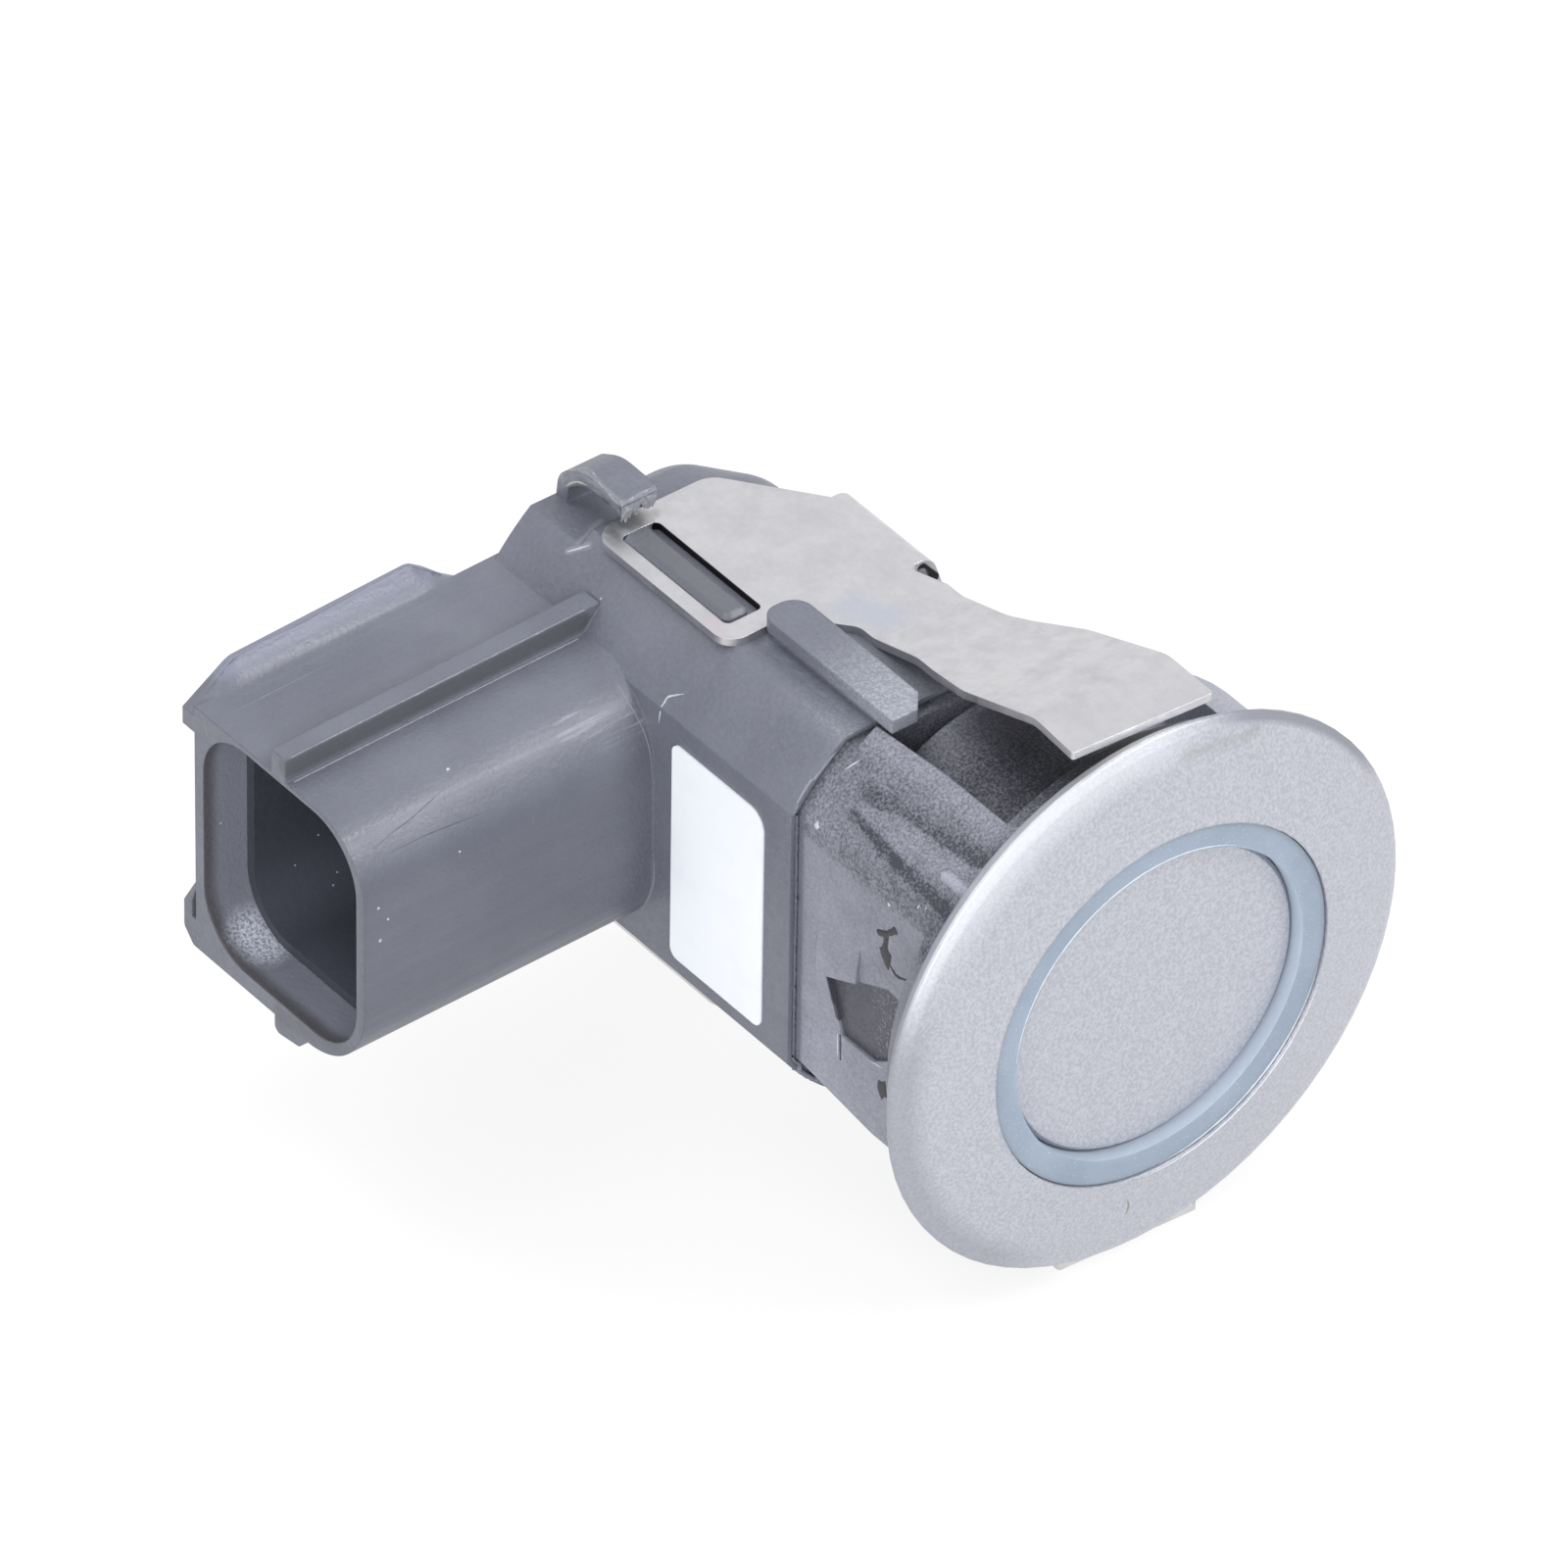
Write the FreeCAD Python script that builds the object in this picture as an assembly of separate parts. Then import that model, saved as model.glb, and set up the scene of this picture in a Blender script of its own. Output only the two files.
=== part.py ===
import FreeCAD, Part
import math
import os

# Ultrasonic parking sensor for a bumper: a painted bezel and barrel that holds the
# transducer, a moulded housing with the electronics and a side connector, and a
# spring steel clip. Millimetres. +X is the sensing direction, the connector's mouth
# faces -Y, +Z is up. The origin is on the sensing axis, in the plane of the bezel's
# rear seat, which lies against the bumper's skin.

V = FreeCAD.Vector

os.makedirs("parts", exist_ok=True)

# Fits
FIT = 0.05                 # each side, between pieces pushed into one another
WEB_GAP = 0.95             # between the clip's web and the housing's far face
FILL_DROP = 0.3            # potting surface below the housing's far face

# Bezel
RIM_R = 13.8
RIM_BACK_X = 0.75          # rear edge of the rim, ahead of the seat
RIM_FRONT_X = 0.95         # front edge of the rim
RIM_BEVEL = 0.45           # width of the bevel at the rim's front
RIM_RISE = 0.25            # its depth
SEAT_R = 13.2              # outer radius of the flat seat
CROWN_X = 2.2              # front of the bezel where it meets the ring
CROWN_BULGE = 0.06         # how far the face bows out between rim and ring

# Collar and neck behind the bezel
FOOT_R = 12.6              # collar where it meets the seat
FOOT_L = 1.4               # full-round foot of the collar
COLLAR_R = 12.1
COLLAR_L = 5.5
CHANNEL_HALF = 5.85        # half width of the channels that clear the clip's tongues
NECK_GAP = 0.5             # between the neck and the housing's front
GUSSET_L = 8.7             # length of the wedge ribs on the neck
GUSSET_H = 0.48            # height of a wedge rib at the bezel
GUSSET_LOW = 40.5          # lower edge of a wedge rib at the bezel, degrees
GUSSET_TOP = 51.0          # upper edge
GUSSET_CREST = 45.0        # crest
MARK_DEPTH = 0.25          # recess in the neck's flat side
MARK = ((-8.6, -0.6), (-4.6, 1.2), (-3.2, 1.0), (-1.8, 0.0), (-1.8, -2.4), (-4.0, -2.4), (-5.5, -3.4),
        (-7.7, -3.45), (-8.0, -2.4))

# Transducer pocket
RING_R = 9.0               # decoupling ring, outside
POCKET_WALL = 0.75
POCKET_FLOOR = 1.0
POCKET_L = 9.3             # from the seat to the back of the pocket

# Plug of the neck that enters the housing
PLUG_DROP = 0.45           # plug inside the housing's outer faces
PLUG_DEPTH = 1.1           # how far the plug enters the housing
LIP_T = 0.25               # housing's lip round the plug

# Transducer
RING_TOP_X = 2.05
RING_L = 8.6
CUP_R = 7.73
CUP_FACE_X = 1.45
CUP_L = 7.4
CUP_WALL = 1.0
CUP_EDGE = 0.2
CUP_FACE_T = 0.8
CUP_BORE_HALF = 4.3        # half height of the oblong bore inside the cup
PIEZO_R = 3.5
PIEZO_T = 0.35
PAD_R = 4.0
PAD_T = 1.5
BASE_T = 1.1

# Leads from the transducer to the board
LEAD_R = 0.35
LEAD_Y = 1.3               # each side of the axis
LEAD_BEND = 1.0
LEAD_XS = (-15.5, -17.7)   # where they land on the board
LEAD_CLEAR = 0.25          # round the leads in the slot behind the pocket

# Housing body
BODY_R = 12.15
NEAR_FLAT = 2.15           # near face inside the round
TOP_FLAT = 2.3             # top and bottom faces inside the round
BODY_FAR_Y = 2.6
BODY_FRONT_X = -10.8
BODY_REAR_X = -31.9
BACK_DROP = 0.55           # lower top behind the clip
BACK_STEP_X = -28.4
SPLIT_Y = -4.0             # the far part of the back is rounded from here
BACK_ROUND = 3.1           # top and bottom edges of the back and the far side
BACK_CORNER = 3.1          # upright corners of the far part
CORNER_X = 3.8             # cut corner of the back, along X
CORNER_Y = 2.9             # and along Y
BODY_WALL = 1.3
FRONT_WALL = 1.2

# Connector shroud
MOUTH_Y = -25.7
SHROUD_X0 = -32.15
SHROUD_X1 = -20.07
SHROUD_Z0 = -6.65
SHROUD_Z1 = 6.75
SHROUD_ROUND = 3.5
SHROUD_ROUND_LOW = 4.2
ROOT_DRAW_X = 0.3          # shroud narrower at its root, on its +X side
ROOT_RISE = 0.5            # shroud's top higher at its root
ROOT_DROP = 0.1            # shroud's bottom lower at its root
SHROUD_WALL_X0 = 0.6
SHROUD_WALL_X1 = 0.58
SHROUD_WALL_Z0 = 0.9
SHROUD_WALL_Z1 = 0.25
SOCKET_ROUND = 3.0
SOCKET_FLOOR_Y = -11.2

# Ribs and ridges of the shroud
RIB_X = -26.15             # middle of the polarising rib
RIB_W = 1.0
RIB_W_ROOT = 1.08
RIB_H = 1.22
RIDGE_OUT = 0.85           # latch ridge and rail outside the shroud's -X face
RIDGE_TOP_Z = 8.25
RIDGE_DRAW = 0.45          # lower at its mouth end
RIDGE_LOW_Z = 5.3
RIDGE_CREST = 0.2          # width of its level top
RIDGE_FOOT = 0.3           # foot of its inner slope outside the shroud's face
RIDGE_RAMP = 2.4           # length of the ramp at the mouth
RIDGE_NOSE = 0.55          # drop of its mouth end below the shroud's top
RIDGE_END_Y = -13.7
RIDGE_FADE = 2.2
RAIL_TOP_Z = -3.0
RAIL_SHOULDER = 1.5
NOTCH_W = 0.28             # notch between rail and shroud at the mouth
NOTCH_H = 1.7
NOTCH_L = 1.4
NUB_X0 = -26.5
NUB_X1 = -24.75
NUB_H = 0.92
NUB_H1 = 0.66              # lower at its +X end
NUB_TOE = 0.7

# Features on top of the housing
BOSS_X0 = -26.65
BOSS_X1 = -19.6
BOSS_Y0 = -6.8
BOSS_Y1 = -5.42
BOSS_PROUD = 0.2           # above the clip's plate
BOSS_EDGE = 0.25           # bevel round its top
LEDGE_X0 = -18.5
LEDGE_X1 = -9.3
LEDGE_Y0 = -5.8
LEDGE_Y1 = -3.7
LEDGE_RISE = 1.15          # top of the ledge above the housing's top
LEDGE_T = 0.7
LEDGE_CUT = 0.9            # cut corner at the ledge's front
LEDGE_NECK = 0.3           # stem of the ledge set back on its near side
HOOK_Y0 = -6.5
HOOK_Y1 = -4.5
HOOK_RISE = 1.9            # top of the strap above the housing's top
HOOK_T = 0.65
HOOK_REACH = 4.5           # from the back of the housing to the torn end
HOOK_LEVEL = 2.1           # from the back to where the strap lies level
HOOK_LEAN = 0.25           # how far its upright part leans
HOOK_R = 2.6               # outer radius where it turns level

# Contact carrier and terminals
LEAD_IN = 2.3              # from the mouth to the carrier
CARRIER_WALL = 0.5
CARRIER_FLOOR = 1.4
PIN_W = 0.64
PIN_PITCH_X = 3.8
PIN_PITCH_Z = 4.4
PIN_TIP_Y = -19.4

# Clip
SHEET = 0.4
CLIP_X0 = -27.95
CLIP_X1 = -18.3
CLIP_Y0 = -7.65
CLIP_CORNER = 1.3
CLIP_CUT_Y = -1.2          # start of the plate's cut corner
WEB_X0 = -23.6
WEB_X1 = -17.8
FOLD_Y = 3.05              # where the plate folds down into the web
FOLD_R = 0.95              # outside radius of the fold
SPREAD_Z = 7.6             # the web leans outward down to here
SPREAD_R = 3.0
WINDOW_CLEAR = 0.2         # window beyond the boss, each end
WINDOW_FAR = 0.55          # window beyond the boss, far side
ROOT_HALF = 2.4            # half width of the tongue at its root
ROOT_SHOULDER = 3.3        # half width of the plate behind the root
BEND_X = -14.9             # where the tongue leaves the plate
KNEE_X = -10.5             # the tongue rises more steeply from here
KNEE_Z = 11.55             # upper face of the tongue there
FLARE_X0 = -11.9           # where the tongue starts to widen
FLARE_X1 = -7.6
FLARE_HALF = 3.4           # half width at the end of the flare
CREASE_X = -2.5
CREASE_Z = 14.5            # upper face of the tongue at its crease
BEND_R = 1.6               # radii of the tongue's upper face at its bend, knee and crease
KNEE_R = 8.0
CREASE_R = 1.9
TIP_X = 0.35
TIP_SKEW = 0.2             # tip further out on its far side
TIP_Z = 14.3
TIP_HALF = 3.65

# Label
LABEL_X0 = -18.95
LABEL_X1 = -12.6
LABEL_Z0 = -6.1
LABEL_Z1 = 5.7
LABEL_T = 0.1
LABEL_ROUND = 0.5

# Board and what it carries
BOARD_Y0 = -5.6
BOARD_T = 1.2
BOARD_X0 = -29.9
BOARD_X1 = -14.3
BOARD_HALF_Z = 7.6
BOARD_CORNER = 0.8
POST_W = 1.8
POST_Z = 5.9
CORE_X = -19.2
CORE_W = 5.2
CORE_H = 4.6
CORE_LEG = 1.0
COIL_R = 1.5
IC_X = -20.4
IC_Z = 4.3
IC_LEN = 5.0
IC_WID = 3.9
IC_H = 1.4
IC_LEADS = 4               # on each side
IC_PITCH = 1.27
IC_LEAD_W = 0.42
IC_LEAD_T = 0.2
IC_LEAD_OUT = 0.3          # from the chip's side to the lead's rise
IC_LEAD_FOOT = 0.7
CHIP_L = 1.6
CHIP_W = 0.8
CAP_H = 0.8
RES_H = 0.45
CHIP_COUNT = 5
CHIP_X = -28.6             # first of each row of chips
CHIP_PITCH = 1.3
CAP_Z = -4.5
RES_Z = -6.6
TANTALUM_L = 3.5
TANTALUM_W = 2.8
TANTALUM_H = 1.9
TANTALUM_X = -15.9
TANTALUM_Z = 5.2
RESONATOR_L = 3.2
RESONATOR_W = 1.3
RESONATOR_H = 1.0
RESONATOR_Z = 5.6


def on_xy(z):
    return lambda u, v: V(u, v, z)


def on_xz(y):
    return lambda u, v: V(u, y, v)


def on_yz(x):
    return lambda u, v: V(x, u, v)


# Closed wire through corners (u, v, radius), with an arc at each corner that has one
def outline(corners, place):
    count = len(corners)
    spans = []
    for i, (u, v, r) in enumerate(corners):
        p = place(u, v)
        before = place(*corners[i - 1][:2])
        after = place(*corners[(i + 1) % count][:2])
        if r == 0:
            spans.append((p, None, p))
            continue
        a = (before - p).normalize()
        b = (after - p).normalize()
        half = a.getAngle(b) / 2
        reach = r / math.tan(half)
        middle = (a + b).normalize() * (r / math.sin(half) - r)
        spans.append((p + a * reach, p + middle, p + b * reach))
    edges = []
    for i, (start, mid, end) in enumerate(spans):
        last = spans[i - 1][2]
        if last.distanceToPoint(start) > 1e-6:
            edges.append(Part.makeLine(last, start))
        if mid is not None:
            edges.append(Part.Arc(start, mid, end).toShape())
    return Part.Wire(Part.__sortEdges__(edges))


def prism(corners, place, run):
    return Part.Face(outline(corners, place)).extrude(run)


def block(x0, x1, y0, y1, z0, z1):
    return Part.makeBox(x1 - x0, y1 - y0, z1 - z0, V(x0, y0, z0))


def rod_x(r, x0, x1, y=0, z=0):
    return Part.makeCylinder(r, x1 - x0, V(x0, y, z), V(1, 0, 0))


# Solid of revolution about the sensing axis from edges through points (x, radius)
def turned(points):
    wire = Part.makePolygon([V(x, r, 0) for x, r in points + points[:1]])
    return Part.Face(wire).revolve(V(0, 0, 0), V(1, 0, 0), 360)


def join(shapes):
    return shapes[0].multiFuse(shapes[1:]).removeSplitter()


def cut(shape, tools):
    return shape.cut(tools)


def mirrored(shape):
    return shape.mirror(V(0, 0, 0), V(0, 0, 1))


def polar(x, r, degrees):
    a = math.radians(degrees)
    return V(x, -r * math.cos(a), r * math.sin(a))


def save(name, shape):
    shape.exportStep("parts/" + name + ".step")


BODY_NEAR_Y = NEAR_FLAT - BODY_R
BODY_TOP_Z = BODY_R - TOP_FLAT
BACK_TOP_Z = BODY_TOP_Z - BACK_DROP
LEDGE_TOP_Z = BODY_TOP_Z + LEDGE_RISE
HOOK_TOP_Z = BODY_TOP_Z + HOOK_RISE
POCKET_R = RING_R + FIT + POCKET_WALL
NECK_FLAT = -BODY_NEAR_Y - PLUG_DROP
NECK_REAR_R = BODY_R - PLUG_DROP
NECK_REAR_X = BODY_FRONT_X + NECK_GAP
GUSSET_X = -GUSSET_L
GUSSET_R = NECK_REAR_R + (COLLAR_R - NECK_REAR_R) * (GUSSET_X - NECK_REAR_X) / (-COLLAR_L - NECK_REAR_X)
BORE_FLOOR_X = POCKET_FLOOR - POCKET_L
CLIP_TOP_Z = BODY_TOP_Z + SHEET
WEB_IN_Y = BODY_FAR_Y + WEB_GAP
WEB_OUT_Y = WEB_IN_Y + SHEET
BOARD_Y1 = BOARD_Y0 + BOARD_T
SOCKET_X0 = SHROUD_X0 + SHROUD_WALL_X0
SOCKET_X1 = SHROUD_X1 - SHROUD_WALL_X1
SOCKET_Z0 = SHROUD_Z0 + SHROUD_WALL_Z0
SOCKET_Z1 = SHROUD_Z1 - SHROUD_WALL_Z1
SOCKET_X = (SOCKET_X0 + SOCKET_X1) / 2
SOCKET_Z = (SOCKET_Z0 + SOCKET_Z1) / 2
FILL_X1 = BODY_FRONT_X - PLUG_DEPTH - FIT - FRONT_WALL


# D-shaped section of the housing, drawn in by a margin
def body_section(margin, x0, x1):
    top = BODY_TOP_Z - margin
    room = block(x0, x1, BODY_NEAR_Y + margin, BODY_FAR_Y - margin, -top, top)
    return rod_x(BODY_R - margin, x0, x1).common(room)


# Bezel, collar and transducer pocket as one turned form, with the neck, its wedge ribs
# and the plug on the connector's side
def bezel_barrel():
    crown_in = V(CROWN_X, RING_R + FIT, 0)
    crown_out = V(RIM_FRONT_X + RIM_RISE, RIM_R - RIM_BEVEL, 0)
    bow = (crown_in + crown_out) * 0.5 + V(CROWN_BULGE, 0, 0)
    rest = [V(x, r, 0) for x, r in (
        (RIM_FRONT_X, RIM_R), (RIM_BACK_X, RIM_R), (0, SEAT_R), (0, FOOT_R), (-FOOT_L, COLLAR_R),
        (-COLLAR_L, COLLAR_R), (-COLLAR_L, POCKET_R), (-POCKET_L, POCKET_R), (-POCKET_L, 0),
        (BORE_FLOOR_X, 0), (BORE_FLOOR_X, RING_R + FIT), (CROWN_X, RING_R + FIT))]
    edges = [Part.Arc(crown_in, bow, crown_out).toShape(), Part.makeLine(crown_out, rest[0])]
    edges += [Part.makeLine(a, b) for a, b in zip(rest, rest[1:])]
    shell = Part.Face(Part.Wire(edges)).revolve(V(0, 0, 0), V(1, 0, 0), 360)
    deep = BODY_R + 2
    groove = block(-COLLAR_L - 1, -FOOT_L, -CHANNEL_HALF, CHANNEL_HALF, 0, deep)
    groove = groove.cut(rod_x(POCKET_R, -COLLAR_L - 2, 0))
    shell = cut(shell, [groove, mirrored(groove)])
    neck = turned([(NECK_REAR_X, 0), (NECK_REAR_X, NECK_REAR_R), (-COLLAR_L, COLLAR_R), (0, COLLAR_R),
                   (0, 0)])
    neck = neck.common(block(NECK_REAR_X, 0, -NECK_FLAT, -CHANNEL_HALF, -deep, deep))
    plug = body_section(PLUG_DROP, BODY_FRONT_X - PLUG_DEPTH, NECK_REAR_X)
    apex = polar(GUSSET_X, GUSSET_R, GUSSET_CREST)
    foot = -FOOT_L / 3
    low = polar(foot, COLLAR_R, GUSSET_LOW)
    top = polar(foot, COLLAR_R, GUSSET_TOP)
    crest = polar(foot, COLLAR_R + GUSSET_H, GUSSET_CREST)
    root = polar(foot, COLLAR_R - 1, GUSSET_CREST)
    base = [low, crest, top, root]
    faces = [Part.Face(Part.makePolygon(base + base[:1]))]
    for a, b in zip(base, base[1:] + base[:1]):
        faces.append(Part.Face(Part.makePolygon([a, b, apex, a])))
    gusset = Part.Solid(Part.Shell(faces))
    flat = block(-COLLAR_L - 1, -FOOT_L, -deep, -NECK_FLAT, -deep, deep)
    solid = join([cut(shell, [flat]), neck, plug, gusset, mirrored(gusset)])
    bore = rod_x(RING_R + FIT, BORE_FLOOR_X, CROWN_X + 1)
    mark = prism([(x, z, 0) for x, z in MARK], on_xz(-NECK_FLAT - 1), V(0, 1 + MARK_DEPTH, 0))
    return cut(solid, [bore, mark, lead_slot(BODY_FRONT_X - PLUG_DEPTH - 1, BORE_FLOOR_X + 1)])


def decoupling_ring():
    back = RING_TOP_X - RING_L
    tube = rod_x(RING_R, back, RING_TOP_X)
    seat = rod_x(CUP_R + FIT, CUP_FACE_X - CUP_L, RING_TOP_X + 1)
    through = rod_x(CUP_R - CUP_WALL, back - 1, RING_TOP_X)
    return cut(tube, [seat, through])


# Aluminium cup with an oblong bore, which makes the beam wider than it is high
def transducer_cup():
    back = CUP_FACE_X - CUP_L
    body = rod_x(CUP_R, back, CUP_FACE_X)
    rim = [e for e in body.Edges if len(e.Vertexes) == 1 and abs(e.Vertexes[0].X - CUP_FACE_X) < 1e-6]
    body = body.makeChamfer(CUP_EDGE, rim)
    return body.cut(cup_bore(back - 1))


def cup_bore(x0):
    room = rod_x(CUP_R - CUP_WALL, x0, CUP_FACE_X - CUP_FACE_T)
    slot = block(x0, CUP_FACE_X - CUP_FACE_T, -CUP_R, CUP_R, -CUP_BORE_HALF, CUP_BORE_HALF)
    return room.common(slot)


PIEZO_X = CUP_FACE_X - CUP_FACE_T
PAD_X = PIEZO_X - PIEZO_T
CUP_BACK_X = CUP_FACE_X - CUP_L
RING_BACK_X = RING_TOP_X - RING_L


def piezo_disc():
    return rod_x(PIEZO_R, PAD_X, PIEZO_X)


# Square ways that hug the two leads
def lead_ways(x0, x1):
    return [block(x0, x1, y - LEAD_R, y + LEAD_R, -LEAD_R, LEAD_R) for y in (-LEAD_Y, LEAD_Y)]


# One slot that clears both leads
def lead_slot(x0, x1):
    high = LEAD_R + LEAD_CLEAR
    return block(x0, x1, -LEAD_Y - high, LEAD_Y + high, -high, high)


def damping_pad():
    return cut(rod_x(PAD_R, PAD_X - PAD_T, PAD_X), lead_ways(PAD_X - PAD_T - 1, PAD_X + 1))


# Silicone filling behind the pad
def transducer_filling():
    fill = cup_bore(CUP_BACK_X)
    return cut(fill, [rod_x(PAD_R, PAD_X - PAD_T, PIEZO_X + 1)] + lead_ways(CUP_BACK_X - 1, PIEZO_X))


# Disc that closes the pocket behind the ring
def transducer_base():
    disc = rod_x(RING_R - FIT, RING_BACK_X - BASE_T, RING_BACK_X)
    boss = rod_x(CUP_R - CUP_WALL - FIT, RING_BACK_X, CUP_BACK_X)
    return cut(join([disc, boss]), lead_ways(RING_BACK_X - BASE_T - 1, CUP_BACK_X + 1))


# Two runs of a section that turn down to the board with a mitred bend
def lead_runs(section):
    runs = []
    for y, x in zip((-LEAD_Y, LEAD_Y), LEAD_XS):
        path = Part.makePolygon([V(PAD_X, y, 0), V(x + LEAD_BEND, y, 0), V(x, y - LEAD_BEND, 0),
                                 V(x, BOARD_Y1, 0)])
        runs.append(path.makePipeShell([section(y)], True, False, 1))
    return runs


# Two insulated leads
def transducer_leads():
    round_wire = lambda y: Part.Wire(Part.makeCircle(LEAD_R, V(PAD_X, y, 0), V(1, 0, 0)))
    return Part.makeCompound(lead_runs(round_wire))


def lead_envelopes():
    return lead_runs(lambda y: outline([(y - LEAD_R, -LEAD_R, 0), (y + LEAD_R, -LEAD_R, 0),
                                        (y + LEAD_R, LEAD_R, 0), (y - LEAD_R, LEAD_R, 0)], on_yz(PAD_X)))


# Shroud as a block with drafted faces, its two +X edges rounded
def shroud_block(root_y):
    low = SHROUD_Z0 - ROOT_DROP
    side = prism([(MOUTH_Y, SHROUD_Z0, 0), (root_y, low, 0), (root_y, SHROUD_Z1 + ROOT_RISE, 0),
                  (MOUTH_Y, SHROUD_Z1, 0)], on_yz(SHROUD_X0), V(SHROUD_X1 - SHROUD_X0, 0, 0))
    plan = prism([(SHROUD_X0, MOUTH_Y, 0), (SHROUD_X1, MOUTH_Y, 0), (SHROUD_X1 - ROOT_DRAW_X, root_y, 0),
                  (SHROUD_X0, root_y, 0)], on_xy(low - 1), V(0, 0, SHROUD_Z1 + ROOT_RISE - low + 2))
    solid = side.common(plan)
    for radius, z in ((SHROUD_ROUND, SHROUD_Z1), (SHROUD_ROUND_LOW, SHROUD_Z0)):
        corner = V(SHROUD_X1, MOUTH_Y, z)
        edges = [e for e in solid.Edges if abs(e.Vertexes[0].Y - e.Vertexes[-1].Y) > 1
                 and min(v.Point.distanceToPoint(corner) for v in e.Vertexes) < 1e-4]
        solid = solid.makeFillet(radius, edges)
    return solid


def socket_prism(y0, y1, margin=0.0):
    corners = [(SOCKET_X0 + margin, SOCKET_Z0 + margin), (SOCKET_X1 - margin, SOCKET_Z0 + margin),
               (SOCKET_X1 - margin, SOCKET_Z1 - margin), (SOCKET_X0 + margin, SOCKET_Z1 - margin)]
    corners = [(u, v, SOCKET_ROUND - margin) for u, v in corners]
    return prism(corners, on_xz(y0), V(0, y1 - y0, 0))


# Connector shroud with its draft, polarising rib, latch ridge, side rail and nub
def shroud():
    root_y = BODY_NEAR_Y + BODY_WALL / 2
    rib_top = SHROUD_Z1 + RIB_H
    half = RIB_W / 2
    wide = RIB_W_ROOT / 2
    inside = SHROUD_Z1 - 0.2
    rib_y = BODY_NEAR_Y + 1.1
    root_top = rib_top + ROOT_RISE
    rib = Part.makeLoft([
        outline([(RIB_X - wide, inside, 0), (RIB_X + wide, inside, 0),
                 (RIB_X + wide, root_top, 0), (RIB_X - wide, root_top, 0)], on_xz(rib_y)),
        outline([(RIB_X - half, inside, 0), (RIB_X + half, inside, 0),
                 (RIB_X + half, rib_top, 0), (RIB_X - half, rib_top, 0)], on_xz(MOUTH_Y))], True, True)
    out_x = SHROUD_X0 - RIDGE_OUT
    in_x = SHROUD_X0 + 0.2
    fade_y = RIDGE_END_Y + RIDGE_FADE
    side = prism([(MOUTH_Y, RIDGE_LOW_Z, 0), (MOUTH_Y, SHROUD_Z1 - RIDGE_NOSE, 0),
                  (MOUTH_Y + RIDGE_RAMP, RIDGE_TOP_Z - RIDGE_DRAW, 1.0), (RIDGE_END_Y, RIDGE_TOP_Z, 0.8),
                  (fade_y, SHROUD_Z1, 0), (fade_y, RIDGE_LOW_Z, 0)],
                 on_yz(out_x), V(in_x - out_x, 0, 0))
    section = prism([(out_x, RIDGE_LOW_Z, 0), (out_x, RIDGE_TOP_Z, 0),
                     (out_x + RIDGE_CREST, RIDGE_TOP_Z, 0.15),
                     (SHROUD_X0 - RIDGE_FOOT, SHROUD_Z1 - 0.1, 0), (in_x, SHROUD_Z1 - 0.1, 0),
                     (in_x, RIDGE_LOW_Z, 0)],
                    on_xz(MOUTH_Y), V(0, fade_y - MOUTH_Y, 0))
    plan = prism([(out_x, MOUTH_Y, 0), (in_x, MOUTH_Y, 0), (in_x, fade_y, 0),
                  (SHROUD_X0, fade_y, 0), (out_x, fade_y - 1.4, 0)],
                 on_xy(RIDGE_LOW_Z), V(0, 0, RIDGE_TOP_Z))
    ridge = side.common(section).common(plan)
    rail = prism([(SHROUD_X0 + 0.2, RAIL_TOP_Z, 0), (SHROUD_X0, RAIL_TOP_Z, 0),
                  (out_x, RAIL_TOP_Z - RAIL_SHOULDER, 0), (out_x, SHROUD_Z0 + 0.7, 0.3),
                  (SHROUD_X0 - 0.2, SHROUD_Z0, 0.3), (SHROUD_X0 + 0.2, SHROUD_Z0, 0)],
                 on_xz(MOUTH_Y), V(0, fade_y - MOUTH_Y, 0))
    notch_z = RAIL_TOP_Z - 0.4
    notch = prism([(SHROUD_X0, notch_z, 0), (SHROUD_X0 - NOTCH_W, notch_z - NOTCH_H / 2, 0),
                   (SHROUD_X0 - NOTCH_W, notch_z - NOTCH_H, 0), (SHROUD_X0, notch_z - NOTCH_H, 0)],
                  on_xz(MOUTH_Y - 1), V(0, NOTCH_L + 1, 0))
    rail = rail.cut(notch)
    nub = prism([(NUB_X0, SHROUD_Z0 - NUB_H, 0.35), (NUB_X1, SHROUD_Z0 - NUB_H1, 0.4),
                 (NUB_X1 + NUB_TOE, SHROUD_Z0 + 0.1, 0), (NUB_X1 + NUB_TOE, SHROUD_Z0 + 0.3, 0),
                 (NUB_X0, SHROUD_Z0 + 0.3, 0)],
                on_xz(MOUTH_Y), V(0, root_y - 0.4 - MOUTH_Y, 0))
    return [shroud_block(root_y), rib, ridge, rail, nub]


# Far part of the housing: cut on a slant at its rear corner, its long edges rounded
def far_block():
    rear = BODY_REAR_X + 0.1
    top = BODY_TOP_Z
    plan = [(BODY_FRONT_X, SPLIT_Y, 0), (BODY_FRONT_X, BODY_FAR_Y, 0),
            (rear + CORNER_X, BODY_FAR_Y, BACK_CORNER), (rear, BODY_FAR_Y - CORNER_Y, BACK_CORNER),
            (rear, SPLIT_Y, 0)]
    solid = prism(plan, on_xy(-top), V(0, 0, 2 * top))
    rims = []
    for edge in solid.Edges:
        ends = [p.Point for p in edge.Vertexes]
        level = all(abs(abs(p.z) - top) < 1e-6 for p in ends) and abs(ends[0].z - ends[1].z) < 1e-6
        front = all(abs(p.x - BODY_FRONT_X) < 1e-6 for p in ends)
        split = all(abs(p.y - SPLIT_Y) < 1e-6 for p in ends)
        if level and not front and not split:
            rims.append(edge)
    return solid.makeFillet(BACK_ROUND, rims)


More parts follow.
